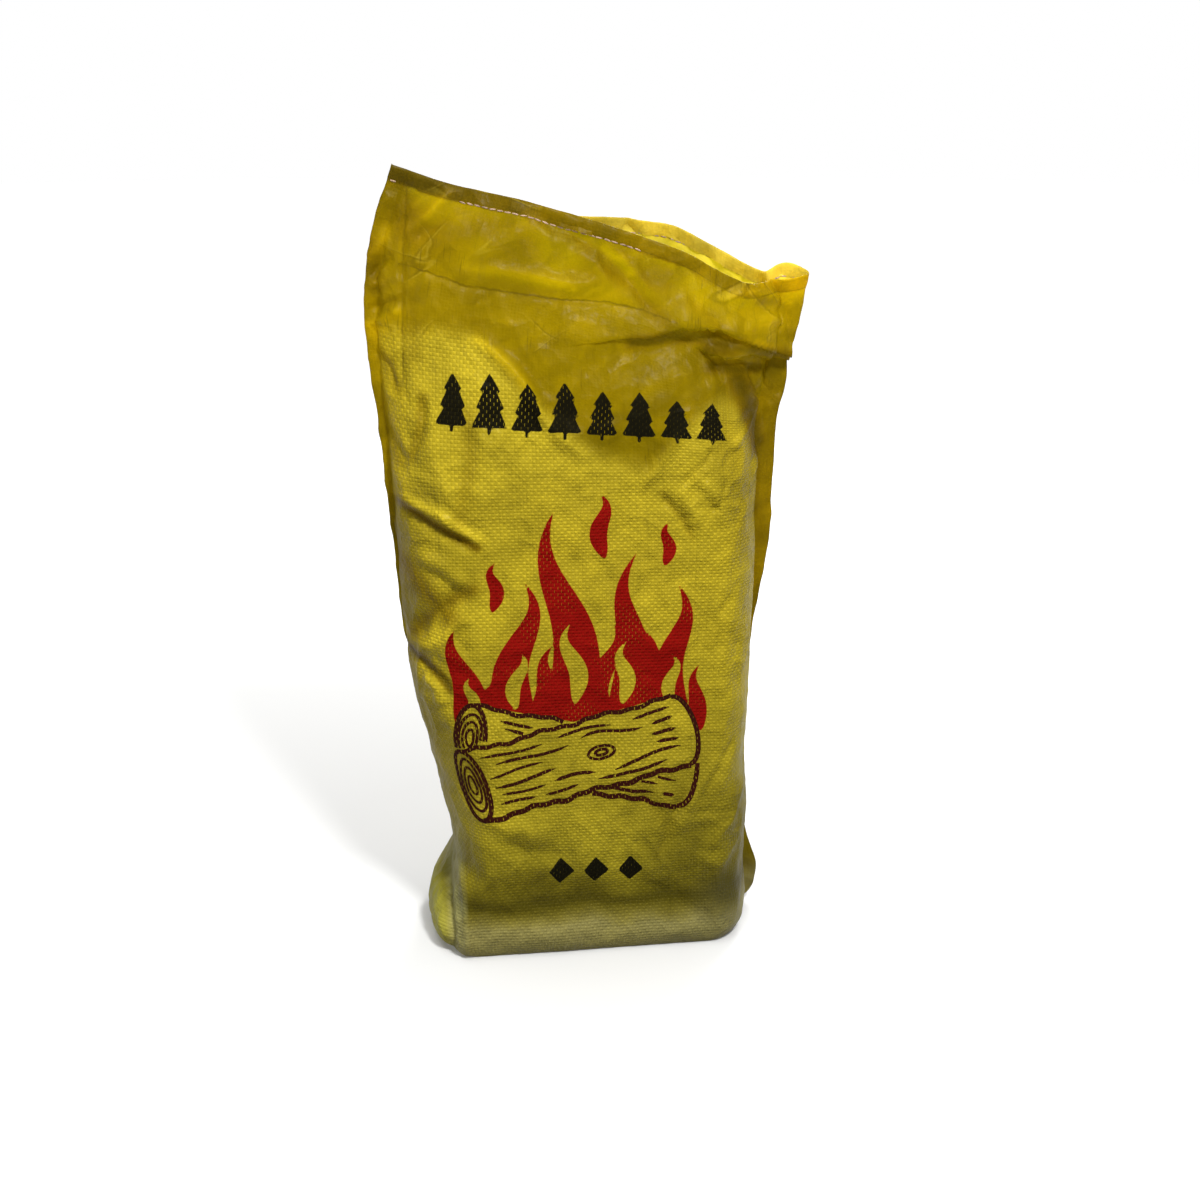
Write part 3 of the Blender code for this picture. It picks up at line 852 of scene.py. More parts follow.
def cloth_marks(cloth):
    """Values that the cloth's finish reads at each point: wood behind it, creases, ink, painted light and
    shade.
    """
    x, z = cloth.points[..., 0] * 1000, cloth.points[..., 2] * 1000
    front = (cloth.face == 0)[None, :] & np.ones(x.shape, bool)
    line = np.where(front, np.interp(x, *zip(*WOOD_LINE)), 492 + 14 * np.sin(x / 41) + 8 * np.sin(x / 17))
    wood = smooth(0.5 + (line - z) / 26)
    # The rolls at the sides stand clear of the wood, and get painted shade, wider at the left, as they turn
    # away from the light.
    share = np.where(cloth.face == 0, 2 * cloth.turns, 2 - 2 * cloth.turns)
    edge = np.minimum(share, 1 - share)[None, :]
    reach = np.where(x < 0, 0.17, 0.07)
    flank = np.where(x < 0, np.interp(z, (380, 470), (0.35, 0.55)), 0.35)
    wood = wood * (flank + (1 - flank) * smooth(edge / reach))
    wood = wood * (1 - 0.5 * (z > 300) * smooth((x - 150) / 14))
    strain = z - np.interp(x, *zip(*STRAIN_LINE))
    strain = np.where(front & (x > STRAIN_LINE[0][0]) & (x < STRAIN_LINE[-1][0]), strain, 40)
    edge_line = np.where(front & (z > EDGE_LINE[0][0]), x - np.interp(z, *zip(*EDGE_LINE)), 40)
    seam = (cloth.up[-HEM_ROWS - 1] - HEM_WIDTH - cloth.up)[:, None] * 1000 + 0 * x
    black, red = print_depths((cloth.across[None, :] - PRINT_MIDDLE) * 1000 + 0 * x, flat_up(cloth) + 0 * x)
    sections = section_table()
    left, right, fin_left, fin_right, lean = (
        np.interp(cloth.points[..., 2], sections["z"], sections[name])
        for name in ("left", "right", "fin_left", "fin_right", "lean")
    )
    pressed = smooth((cloth.points[..., 0] - right + fin_right) / 0.003 + 0.5)
    pressed = pressed * (fin_right > 0.003) * (z < 560)
    pressed = pressed * np.interp(z, (380, 500, 540), (0.85, 0.6, 0.25))
    pressed_left = smooth((left + fin_left - cloth.points[..., 0]) / 0.003 + 0.5) * (fin_left > 0.003)
    pressed = np.maximum(pressed, pressed_left)
    wood = wood * (1 - pressed)
    pressed = pressed * np.where(x < 0, 0.25, 1.0) * (np.abs(cloth.points[..., 1] - lean) < 0.006)
    hem = (cloth.up > cloth.up[-HEM_ROWS - 1] - HEM_WIDTH)[:, None] * front
    # Along the hem the painted shade of two layers goes past 1 at the left, into deeper painted shade, and
    # fades to the right.
    hem = hem * np.interp(x, (-190, -110, -60, 0, 150), (1.45, 1.30, 0.70, 0.40, 0.15))
    inked = front.copy()
    inked[-HEM_ROWS:] = False
    loose = hold_and_spare(cloth.points, cloth.face)[1]
    # Painted shade towards the right foot, where the cloth turns under, and in a band above the left foot.
    grime = smooth((240 - z) / 150) * smooth((x + 10) / 110) * 0.75
    band = smooth((132 - z) / 60) * smooth((z - 30) / 30) * smooth((40 - x) / 120) * 0.75
    grime = np.maximum(grime, band) * front
    # Painted shade along the left of the hem.
    grime = np.maximum(grime, 0.45 * hem * smooth((-20 - x) / 80))
    return {
        "loose": loose, "grime": grime, "wood_behind": wood,
        "doubled": np.maximum(np.maximum(pressed, hem), painted(PAINTED_SHADE, x, z) * front),
        # pale is a painted highlight on the top of the back panel, and gleam painted highlights on the front.
        "pale": np.where(front, 0, smooth((z - 520) / 60)), "gleam": painted(PAINTED_HIGHLIGHTS, x, z) * front,
        "strain": strain, "edge_line": edge_line, "seam": seam,
        "black_ink": np.where(inked, black, NO_INK), "red_ink": np.where(inked, red, NO_INK),
    }


def flat_up(cloth):
    """Millimetres up the flat panel from the sack's foot, for each row."""
    return (cloth.up[:, None] - UNDERSIDE) * 1000


def new_object(name, mesh, materials):
    """A smooth shaded object in the scene."""
    for material in materials:
        mesh.materials.append(material)
    mesh.polygons.foreach_set("use_smooth", [True] * len(mesh.polygons))
    piece = bpy.data.objects.new(name, mesh)
    bpy.context.scene.collection.objects.link(piece)
    return piece


def sheet_mesh(name, points, across, up, marks):
    """A create_grid sheet placed point by point, closed across its columns and along its first row."""
    rows, columns = points.shape[:2]
    bm = bmesh.new()
    bmesh.ops.create_grid(bm, x_segments=columns, y_segments=rows - 1, size=1)
    layer = bm.loops.layers.uv.new("cloth")
    floats = {mark: bm.verts.layers.float.new(mark) for mark in marks}
    bm.verts.index_update()
    column = [round((v.co.x + 1) / 2 * columns) for v in bm.verts]
    row = [round((v.co.y + 1) / 2 * (rows - 1)) for v in bm.verts]
    closed = np.append(across, 2 * PANEL)
    for v in bm.verts:
        r, c = row[v.index], column[v.index] % columns
        v.co = points[r, c]
        for mark, values in marks.items():
            v[floats[mark]] = values[r, c]
    for face in bm.faces:
        for loop in face.loops:
            loop[layer].uv = (closed[column[loop.vert.index]], up[row[loop.vert.index]])
    bmesh.ops.remove_doubles(bm, verts=bm.verts[:], dist=0.00001)
    bmesh.ops.recalc_face_normals(bm, faces=bm.faces[:])
    mesh = bpy.data.meshes.new(name)
    bm.to_mesh(mesh)
    bm.free()
    return mesh


def ribbon_mesh(name, cloth, strokes, lift):
    """Inked strokes as narrow strips that lie on the cloth."""
    bm = bmesh.new()
    layer = bm.loops.layers.uv.new("cloth")
    for places, widths in strokes:
        run = np.gradient(places, axis=0)
        run /= np.maximum(np.linalg.norm(run, axis=1, keepdims=True), 1e-9)
        side = np.stack((-run[:, 1], run[:, 0]), axis=1) * widths[:, None] / 2
        flat = np.stack((places - side, places, places + side), axis=1) / 1000
        flat += (PRINT_MIDDLE, UNDERSIDE)
        points = cloth.at(flat[..., 0], flat[..., 1], lift)
        before = len(bm.verts)
        bmesh.ops.create_grid(bm, x_segments=2, y_segments=len(places) - 1, size=1)
        bm.verts.ensure_lookup_table()
        spot = {}
        for v in bm.verts[before:]:
            spot[v] = (round((v.co.y + 1) / 2 * (len(places) - 1)), round(v.co.x + 1))
            v.co = points[spot[v]]
        for face in {f for v in spot for f in v.link_faces}:
            for loop in face.loops:
                loop[layer].uv = flat[spot[loop.vert]]
    mesh = bpy.data.meshes.new(name)
    bm.to_mesh(mesh)
    bm.free()
    return mesh


# ---- finishes ----


def weave_nodes(node, pitch):
    """The crossing of the tapes from the cloth's own UV map: which tape is on top, the swell of each
    crossing, and the short upright slits between neighbouring tapes."""
    flat = node("SeparateXYZ", node("UVMap", uv_map="cloth")).node.outputs
    waves = []
    for axis, kind in (("X", "SINE"), ("Y", "SINE"), ("X", "COSINE")):
        angle = node("Math", flat[axis], math.pi / pitch, operation="MULTIPLY")
        waves.append(node("Math", angle, operation=kind))
    wave = node("Math", waves[0], waves[1], operation="MULTIPLY")
    size = node("Math", wave, operation="ABSOLUTE")
    swell = node("Math", size, 0.5, operation="POWER")
    edge = node("Math", waves[0], operation="ABSOLUTE")
    edge = node("MapRange", edge, 0.36, 0.14)
    stagger = node("Math", waves[2], waves[1], operation="MULTIPLY")
    stagger = node("MapRange", stagger, 0.22, 0.52)
    slit = node("Math", edge, stagger, operation="MULTIPLY")
    return wave, swell, slit


def new_finish(name):
    """An empty material, and add_node bound to its tree."""
    material = bpy.data.materials.new(name)
    material.use_nodes = True
    material.node_tree.nodes.clear()
    return material, partial(add_node, material.node_tree)


def toned(node, colour, *factors):
    """A colour made lighter or darker by each factor."""
    for factor in factors:
        grey = node("CombineColor", factor, factor, factor)
        colour = node("Mix", 1.0, colour, grey, data_type="RGBA", blend_type="MULTIPLY")
    return colour


def cloth_material(s):
    """Woven polypropylene tape: waxy flat strips with a soft sheen, straw yellow where wood backs them. The
    deep gold of light coming through from behind is painted into the colour, with painted shade and painted
    highlights."""
    material, node = new_finish("woven polypropylene tape")
    wave, swell, slit = weave_nodes(node, s.cloth.tape_pitch)
    wood, doubled, pale, painted_highlight_marks, loose, grime, strain, edge_line, seam, black, red = (
        node("Attribute", attribute_name=name, output="Fac")
        for name in ("wood_behind", "doubled", "pale", "gleam", "loose", "grime", "strain", "edge_line",
                     "seam", "black_ink", "red_ink")
    )
    place = node("TexCoord", output="Object")
    axes = node("SeparateXYZ", place).node.outputs
    cut = node("UVMap", uv_map="cloth")

    # One tape's tone against the next: cells one pitch wide, drawn out along the tape.
    tapes = node("VectorMath", cut, (1 / s.cloth.tape_pitch, 9.0, 1.0), operation="MULTIPLY")
    tape_tone = node("TexNoise", tapes, 1.0, 2.0)
    patches = node("TexNoise", place, 17.0, 4.0)
    blotches = node("TexNoise", place, 58.0, 3.0)

    # Painted light: deep gold where light would shine through, with no wood behind the cloth.
    colour = node("Mix", wood, s.cloth.lit_through, s.cloth.straw, data_type="RGBA")
    # Painted shade where two layers or folds keep the light from coming through.
    colour = node("Mix", doubled, colour, s.cloth.two_layers, data_type="RGBA")
    # Past 1 the painted shade goes on into the darkest colour.
    deep = node("MapRange", doubled, 1.0, 2.0)
    colour = node("Mix", deep, colour, s.cloth.fold_dark, data_type="RGBA")
    # Painted highlight on the top of the back panel.
    colour = node("Mix", pale, colour, s.cloth.pale_back, data_type="RGBA")
    lower = node("MapRange", axes["Z"], 0.30, 0.06, 0.0, 0.55)
    colour = node("Mix", lower, colour, s.cloth.olive, data_type="RGBA")
    # Painted shade in olive, towards the right foot, above the left foot and along the left of the hem.
    olive_shade_share = node("MapRange", patches, 0.3, 0.6, 1.0, 0.6)
    olive_shade_share = node("Math", olive_shade_share, grime, operation="MULTIPLY")
    colour = node("Mix", olive_shade_share, colour, s.marks.grime, data_type="RGBA")
    tone = node("MapRange", patches, 0.3, 0.7, 0.80, 1.15)
    # Painted light and shade in slanting stripes, some 110 mm long and 30 mm high, as if the light
    # came through both layers unevenly.
    slanting = node("VectorRotate", named={"Vector": place, "Angle": 0.38}, rotation_type="Y_AXIS")
    slanting = node("VectorMath", slanting, (9.0, 6.0, 34.0), operation="MULTIPLY")
    painted_light_bands = node("TexNoise", slanting, 1.0, 3.0)
    painted_light_bands = node("MapRange", painted_light_bands, 0.34, 0.66, 0.80, 1.18)
    backed = node("MapRange", wood, 0.0, 1.0, 1.0, 0.25)
    painted_light_bands = node("Mix", backed, 1.0, painted_light_bands, data_type="FLOAT")
    tone_small = node("MapRange", blotches, 0.3, 0.7, 0.95, 1.05)
    tone_tape = node("MapRange", tape_tone, 0.3, 0.7, 0.94, 1.05)
    # Painted light and shade of the weave: lighter and darker crossings, as one tape or the other lies on
    # top.
    tone_weave = node("MapRange", wave, -0.45, 0.45, -0.145, 0.115)
    shown = node("MapRange", wood, 0.0, 0.8, 0.12, 1.0)
    plain = node("MapRange", patches, 0.35, 0.62, 0.35, 1.15)
    shown = node("Math", shown, plain, operation="MULTIPLY")
    tone_weave = node("Math", tone_weave, shown, 1.0, operation="MULTIPLY_ADD")
    # Painted light and shade of the crumpled cloth, in cells about 20 mm across, each lighter or darker than
    # the next.
    wander = node("TexNoise", place, 24.0, 2.0, output="Color")
    strayed = node("VectorMath", wander, (0.03, 0.03, 0.03), place, operation="MULTIPLY_ADD")
    painted_facet_light = node(
        "TexVoronoi", named={"Vector": strayed, "Scale": 52.0, "Smoothness": 0.35}, feature="SMOOTH_F1",
        output="Color",
    )
    painted_facet_light = node("MapRange", painted_facet_light, 0.15, 0.85, 0.87, 1.11)
    painted_facet_light = node("Mix", backed, 1.0, painted_facet_light, data_type="FLOAT")
    # Painted highlights lighten the colour up to 1.7 times.
    lift = node("MapRange", painted_highlight_marks, 0.0, 1.0, 1.0, 1.7)
    colour = toned(node, colour, tone, painted_light_bands, painted_facet_light, lift, tone_small, tone_tape, tone_weave)

    bare = node("Math", 1.0, wood, operation="SUBTRACT")
    # Crumple creases: a thin line of painted shade with a painted highlight beside it, in broken runs.
    runs = node("MapRange", patches, 0.48, 0.58)
    runs = node("Math", runs, bare, operation="MULTIPLY")
    upper = node("MapRange", axes["Z"], 0.50, 0.56)
    runs = node("Math", runs, upper, operation="MULTIPLY")
    forward = node("MapRange", axes["Y"], 0.02, -0.01, 0.12, 1.0)
    runs = node("Math", runs, forward, operation="MULTIPLY")
    for turn, start in ((0.5, 0.0), (-0.7, 3.7)):
        turned = node("VectorRotate", named={"Vector": place, "Angle": turn}, rotation_type="Y_AXIS")
        drawn = node("VectorMath", turned, (9.0, 9.0, 27.0), (start, start, start), operation="MULTIPLY_ADD")
        level = node("TexNoise", drawn, 1.0, 1.0)
        for at, half, most, shade in (
            (0.500, 0.013, 0.55, s.cloth.fold_dark), (0.519, 0.012, 0.20, s.cloth.pale_back),
        ):
            off = node("Math", level, at, operation="SUBTRACT")
            off = node("Math", off, operation="ABSOLUTE")
            crease = node("MapRange", off, half / 4, half, most, 0.0)
            crease = node("Math", crease, runs, operation="MULTIPLY")
            colour = node("Mix", crease, colour, shade, data_type="RGBA")

    # Thin places between warp tapes show as dark upright streaks where light comes through.
    upright = node("VectorMath", cut, (700.0, 34.0, 1.0), operation="MULTIPLY")
    streak = node("TexNoise", upright, 1.0, 1.0)
    streak = node("MapRange", streak, 0.62, 0.68, 0.0, 0.8)
    cluster = node("MapRange", patches, 0.46, 0.60)
    streak = node("Math", streak, cluster, operation="MULTIPLY")
    streak = node("Math", streak, bare, operation="MULTIPLY")
    streak = node("Math", streak, forward, operation="MULTIPLY")
    colour = node("Mix", streak, colour, s.cloth.fold_dark, data_type="RGBA")
    wiggle = node("TexNoise", place, 130.0, 1.0)
    broken = node("MapRange", blotches, 0.35, 0.55, 0.5, 1.0)
    # Painted shade along the old fold lines and the hem's seam, some 2 mm wide and scalloped.
    for signed, swing, half, dark in (
        (strain, 4.0, 1.2, 0.98), (edge_line, 2.0, 1.3, 0.55), (seam, 0.6, 0.8, 0.75),
    ):
        moved = node("Math", wiggle, swing, -swing / 2, operation="MULTIPLY_ADD")
        moved = node("Math", signed, moved, operation="ADD")
        moved = node("Math", moved, operation="ABSOLUTE")
        line = node("MapRange", moved, half * 0.35, half, dark, 0.0)
        line = node("Math", line, broken, operation="MULTIPLY")
        colour = node("Mix", line, colour, s.cloth.fold_dark, data_type="RGBA")

    # Ground dust: a grey film up to 50 mm, painted shade in the hollow over it, and a smudge at the right
    # foot.
    ragged = node("Math", patches, 0.03, -0.015, operation="MULTIPLY_ADD")
    height = node("Math", axes["Z"], ragged, operation="ADD")
    film = node("MapRange", height, 0.050, 0.028, 0.0, 0.70)
    # The corner ear behind the left foot keeps little of the film, and painted light makes it lighter.
    # The rubbed corner beside it is pale.
    ear = node("MapRange", axes["X"], -0.134, -0.150, 1.0, 0.15)
    film = node("Math", film, ear, operation="MULTIPLY")
    colour = node("Mix", film, colour, s.marks.dust, data_type="RGBA")
    clean = node("Math", 1.0, ear, operation="SUBTRACT")
    under = node("MapRange", axes["Z"], 0.120, 0.075)
    clean = node("Math", clean, under, operation="MULTIPLY")
    colour = node("Mix", clean, colour, s.marks.clean, data_type="RGBA")
    # Painted shade in the hollow above the foot, less on the back.
    off_line = node("Math", height, 0.0525, operation="SUBTRACT")
    off_line = node("Math", off_line, operation="ABSOLUTE")
    tide = node("MapRange", off_line, 0.024, 0.002, 0.0, 0.92)
    tide = node("Math", tide, ear, operation="MULTIPLY")
    behind = node("MapRange", axes["Y"], -0.05, 0.05, 1.0, 0.35)
    tide = node("Math", tide, behind, operation="MULTIPLY")
    colour = node("Mix", tide, colour, s.marks.tide, data_type="RGBA")
    off_corner = node("Math", axes["X"], 0.1325, operation="ADD")
    off_corner = node("Math", off_corner, operation="ABSOLUTE")
    corner = node("MapRange", off_corner, 0.0100, 0.0030)
    low = node("MapRange", height, 0.150, 0.090, 0.0, 0.62)
    corner = node("Math", corner, low, operation="MULTIPLY")
    patchy = node("MapRange", blotches, 0.40, 0.58, 0.45, 1.0)
    corner = node("Math", corner, patchy, operation="MULTIPLY")
    colour = node("Mix", corner, colour, s.marks.rubbed, data_type="RGBA")
    off_smudge = node("VectorMath", place, (0.112, -0.07, 0.048), operation="DISTANCE")
    smudge = node("MapRange", off_smudge, 0.034, 0.008, 0.0, 0.7)
    colour = node("Mix", smudge, colour, s.marks.smudge, data_type="RGBA")

    # Ink sits on the high side of the crossings and misses some of the low ones.
    worn = node("TexNoise", place, 26.0, 2.0)
    worn = node("MapRange", worn, 0.50, 0.64, 0.06, 0.9)
    missed = node("Math", slit, worn, operation="MULTIPLY")
    inked = 0.0
    for depth, ink, misses in ((red, s.ink.red, -0.5), (black, s.ink.black, -1.0)):
        held = node("Math", missed, misses, 1.0, operation="MULTIPLY_ADD")
        cover = node("MapRange", depth, -0.25, 0.35)
        cover = node("Math", cover, held, operation="MULTIPLY")
        colour = node("Mix", cover, colour, ink, data_type="RGBA")
        inked = node("Math", cover, inked, operation="MAXIMUM")

    gloss = node("MapRange", blotches, 0.3, 0.7, 0.40, 0.56)
    gleam = node("Math", inked, -0.9 * s.cloth.sheen, s.cloth.sheen, operation="MULTIPLY_ADD")
    relief = node("MapRange", wood, 0.0, 1.0, 0.25, 1.0)
    over = node("Math", wave, 0.3, swell, operation="MULTIPLY_ADD")
    bulge = node("Math", over, relief, operation="MULTIPLY")
    # Small sharp creases, cells about 30 mm and 12 mm across, where the cloth is loose.
    rumple = 0.0
    for size, height in ((34.0, 1.0), (84.0, 0.4)):
        cells = node("TexVoronoi", named={"Vector": strayed, "Scale": size}, feature="F1")
        rumple = node("Math", cells, height, rumple, operation="MULTIPLY_ADD")
    rumple = node("Math", rumple, loose, operation="MULTIPLY")
    creased = node("Bump", named={"Height": rumple, "Strength": 0.85, "Distance": 0.0055})
    # A tape crossing is drawn 0.6 mm proud, more than the real 0.25 mm, so that the weave shows.
    bump = node("Bump", named={"Height": bulge, "Strength": 0.8, "Distance": 0.0006, "Normal": creased})
    # The rolled film on the tapes glints at the creases.
    glaze = node("Math", inked, -0.9 * s.cloth.glaze, s.cloth.glaze, operation="MULTIPLY_ADD")
    solid = node(
        "BsdfPrincipled", named={"Base Color": colour, "Roughness": gloss, "Specular IOR Level": gleam,
        "Specular Tint": s.cloth.sheen_tint, "Coat Weight": glaze, "Coat Roughness": 0.24,
        "Coat Normal": creased, "Normal": bump, "IOR": 1.49},
    )
    # The painted light and shade also tint the light that comes through, and two layers dim it.
    thick = node("MapRange", doubled, 0.0, 2.0, 1.0, 0.60)
    glow_colour = toned(node, s.cloth.glow, painted_light_bands, painted_facet_light, lift, thick)
    glow_colour = node("Mix", 0.75, colour, glow_colour, data_type="RGBA")
    glow = node("BsdfTranslucent", named={"Color": glow_colour, "Normal": bump})
    share = node("MapRange", wood, 0.0, 1.0, 0.40, 0.08)
    blocked = node("Math", inked, -1.0, 1.0, operation="MULTIPLY_ADD")
    share = node("Math", share, blocked, operation="MULTIPLY")
    both = node("MixShader", share, solid, glow)
    node("OutputMaterial", named={"Surface": both})
    return material


def ink_material(s):
    """Flexographic ink: a thin matt brown film, broken where the tapes dip."""
    material, node = new_finish("brown flexographic ink")
    wave, swell, slit = weave_nodes(node, s.cloth.tape_pitch)
    place = node("TexCoord", output="Object")
    patches = node("TexNoise", place, 60.0, 4.0)
    uneven = node("MapRange", patches, 0.4, 0.62, 0.2, 1.0)
    thin = node("Math", slit, uneven, operation="MULTIPLY")
    colour = node("Mix", thin, s.ink.brown, s.cloth.straw, data_type="RGBA")
    bump = node("Bump", named={"Height": swell, "Strength": 0.4, "Distance": 0.0003})
    solid = node(
        "BsdfPrincipled", named={"Base Color": colour, "Roughness": 0.6, "Specular IOR Level": 0.04,
        "Normal": bump},
    )
    node("OutputMaterial", named={"Surface": solid})
    return material


def thread_material(s):
    """Spun polyester thread: matt pale strand with a fine twist."""
    material, node = new_finish("spun polyester thread")
    place = node("TexCoord", output="Object")
    # The twist is drawn every 3 mm, coarser than the real 0.8 mm, which is too fine to show.
    twist = node(
        "TexWave", named={"Vector": place, "Scale": 200.0, "Distortion": 1.0}, bands_direction="DIAGONAL",
        output="Fac",
    )
    soil = node("TexNoise", named={"Vector": place, "Scale": 90.0})
    soil = node("MapRange", soil, 0.4, 0.7, 0.0, 0.6)
    colour = node("Mix", soil, s.hem.thread, s.cloth.fold_dark, data_type="RGBA")
    bump = node("Bump", named={"Height": twist, "Strength": 0.5, "Distance": 0.0002})
    solid = node(
        "BsdfPrincipled", named={"Base Color": colour, "Roughness": 0.7, "Specular IOR Level": 0.3,
        "Normal": bump},
    )
    node("OutputMaterial", named={"Surface": solid})
    return material


def wood_material(name, light, dark, rings):
    """Dry hardwood: split faces are fibrous with dark grain along them, sawn ends show their rings."""
    material, node = new_finish(name)
    place = node("TexCoord", output="Object")
    if rings:
        # Growth rings 4 to 6 mm apart.
        stretch = node("VectorMath", place, (1.0, 1.4, 0.1), operation="MULTIPLY")
        grain = node(
            "TexWave", named={"Vector": stretch, "Scale": 52.0, "Distortion": 3.0, "Detail": 3.0,
            "Detail Scale": 2.0}, wave_type="RINGS", rings_direction="Z", output="Fac",
        )
    else:
        # Fibre bundles 2 mm wide and ten times as long.
        stretch = node("VectorMath", place, (1.0, 1.0, 0.08), operation="MULTIPLY")
        grain = node("TexNoise", named={"Vector": stretch, "Scale": 420.0, "Detail": 8.0, "Roughness": 0.65})
    patches = node("TexNoise", place, 22.0, 5.0)
    share = node("MapRange", grain, 0.3, 0.7)
    colour = node("Mix", share, dark, light, data_type="RGBA")
    tone = node("MapRange", patches, 0.3, 0.7, 0.72, 1.2)
    colour = toned(node, colour, tone)
    bump = node("Bump", named={"Height": grain, "Strength": 0.7, "Distance": 0.0012})
    solid = node(
        "BsdfPrincipled", named={"Base Color": colour, "Roughness": 0.82, "Specular IOR Level": 0.25,
        "Normal": bump},
    )
    node("OutputMaterial", named={"Surface": solid})
    return material


# ---- what a user can change ----


def colour_property(label, description, code):
    return FloatVectorProperty(name=label, description=description, subtype="COLOR", size=4, min=0, max=1,
                               default=linear(code))


def number_property(label, description, default, low, high, **kind):
    return FloatProperty(name=label, description=description, default=default, min=low, max=high, **kind)


length_property = partial(number_property, unit="LENGTH")
share_property = partial(number_property, subtype="FACTOR")


class ClothSettings(bpy.types.PropertyGroup):
    # Painted light: the deep gold of light shining through the cloth with nothing behind it.
    lit_through: colour_property("Lit through", "Cloth with nothing behind it", "#8f7902")
    # Painted shade where two layers keep the light from coming through.
    two_layers: colour_property(
        "Two layers", "Cloth pressed on cloth at the hem and the side fins", "#796003",
    )
    # Painted highlight on the top of the back panel and beside the crumple creases.
    pale_back: colour_property("Pale back", "Top of the back panel, without dust", "#dcc646")
    straw: colour_property("Backed", "Cloth with wood right behind it", "#bba523")
    olive: colour_property("Lower cloth", "Cloth towards the foot", "#9c9126")
    glow: colour_property("Glow", "Light that comes through the cloth", "#f6e200")
    # Painted shade in folds and creases, dark streaks, and soil on the thread.
    fold_dark: colour_property("Fold", "Pressed fold lines and thin places", "#4d3f04")
    sheen_tint: colour_property("Sheen tint", "Colour of the cloth's reflections", "#ffe98a")
    tape_pitch: length_property("Tape pitch", "Distance from one tape to the next", 0.00288, 0.001, 0.01)
    sheen: share_property("Sheen", "Strength of the cloth's reflections", 0.18, 0, 1)
    glaze: share_property("Glaze", "Strength of the glints on creases", 0.03, 0, 1)


# Dust, rubbing and smudges, and painted shade and light near the foot and the hem.
class MarkSettings(bpy.types.PropertyGroup):
    # Painted shade towards the right foot, above the left foot and along the left of the hem.
    grime: colour_property("Grime", "Dark dirt towards the right foot and in the band", "#4d450a")
    dust: colour_property("Dust", "Film of ground dust near the foot", "#979060")
    # Painted light on the corner ear behind the left foot.
    clean: colour_property("Clean ear", "Corner ear behind the left foot", "#bdb848")
    rubbed: colour_property("Rubbed corner", "Worn pale edge at the left foot", "#b6b274")
    # Painted shade in the hollow above the foot.
    tide: colour_property("Tide line", "Dark band above the foot", "#443d08")
    smudge: colour_property("Smudge", "Grey rub mark at the right foot", "#4f4a26")


class PrintSettings(bpy.types.PropertyGroup):
    red: colour_property("Red ink", "Printed flames", "#8c100c")
    black: colour_property("Black ink", "Printed trees and diamonds", "#16140b")
    brown: colour_property("Brown ink", "Printed logs", "#33110a")
    stroke: share_property("Stroke width", "Width of the drawn lines against the drawing's own", 1.2, 0.3, 3)
    log_seed: IntProperty(
        name="Log drawing seed", description="Changes the grain lines of the printed logs", default=4,
    )


class StitchSettings(bpy.types.PropertyGroup):
    thread: colour_property("Thread", "Hem stitches", "#c9a88e")
    stitch: length_property("Stitch", "Length of one hem stitch", 0.0061, 0.002, 0.02)
    stitch_pitch: length_property("Stitch spacing", "From one stitch to the next", 0.0068, 0.003, 0.03)


class WoodSettings(bpy.types.PropertyGroup):
    split: colour_property("Split face", "Split faces of the billets", "#4a2c1f")
    split_dark: colour_property("Split face grain", "Dark grain in the split faces", "#1d120c")
    sawn: colour_property("Sawn end", "Sawn ends of the billets", "#8a6850")
    sawn_dark: colour_property("Sawn end rings", "Rings on the sawn ends", "#57402f")
    splinter: length_property("Splinter depth", "How deep the split faces are torn", 0.0022, 0, 0.006)


class StageSettings(bpy.types.PropertyGroup):
    floor: colour_property("Floor", "Studio floor", "#e2e2e1")


class SackSettings(bpy.types.PropertyGroup):
    cloth: PointerProperty(name="Cloth", description="The woven cloth", type=ClothSettings)
    marks: PointerProperty(name="Marks", description="Dirt and wear on the cloth", type=MarkSettings)
    ink: PointerProperty(name="Print", description="The print", type=PrintSettings)
    hem: PointerProperty(name="Stitches", description="The hem's stitches", type=StitchSettings)
    wood: PointerProperty(name="Wood", description="The split billets", type=WoodSettings)
    stage: PointerProperty(name="Stage", description="The studio", type=StageSettings)


class FIREWOOD_OT_sack(bpy.types.Operator):
    """Builds the woven cloth of the sack over its solid"""

    bl_idname = "firewood.sack"
    bl_label = "Woven sack"

    def execute(self, context):
        cloth = shaped_cloth()
        mesh = sheet_mesh("woven_sack", cloth.points, cloth.across, cloth.up, cloth_marks(cloth))
        sack = new_object("woven_sack", mesh, [cloth_material(context.scene.firewood)])
        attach(sack, "root")
        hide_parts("sack")
        return {"FINISHED"}


class FIREWOOD_OT_print(bpy.types.Operator):
    """Lays the brown line drawing of two crossed logs on the cloth"""

    bl_idname = "firewood.print"
    bl_label = "Printed logs"

    def execute(self, context):
        s = context.scene.firewood
        strokes = log_strokes(DRAWN_LOGS[0], s.ink.log_seed, 24)
        for places, widths in log_strokes(DRAWN_LOGS[1], s.ink.log_seed + 1, None):
            strokes += visible_runs(places, widths, DRAWN_LOGS[0])
        strokes = [(places, np.asarray(widths) * s.ink.stroke) for places, widths in strokes]
        mesh = ribbon_mesh("printed_logs", shaped_cloth(), strokes, 0.00028)
        piece = new_object("printed_logs", mesh, [ink_material(s)])
        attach(piece, "root")
        return {"FINISHED"}


# Where the front's thread lies on the cloth: elsewhere it is drawn in.
THREAD_SHOWS = ((-0.20, -0.170), (-0.118, 0.040))


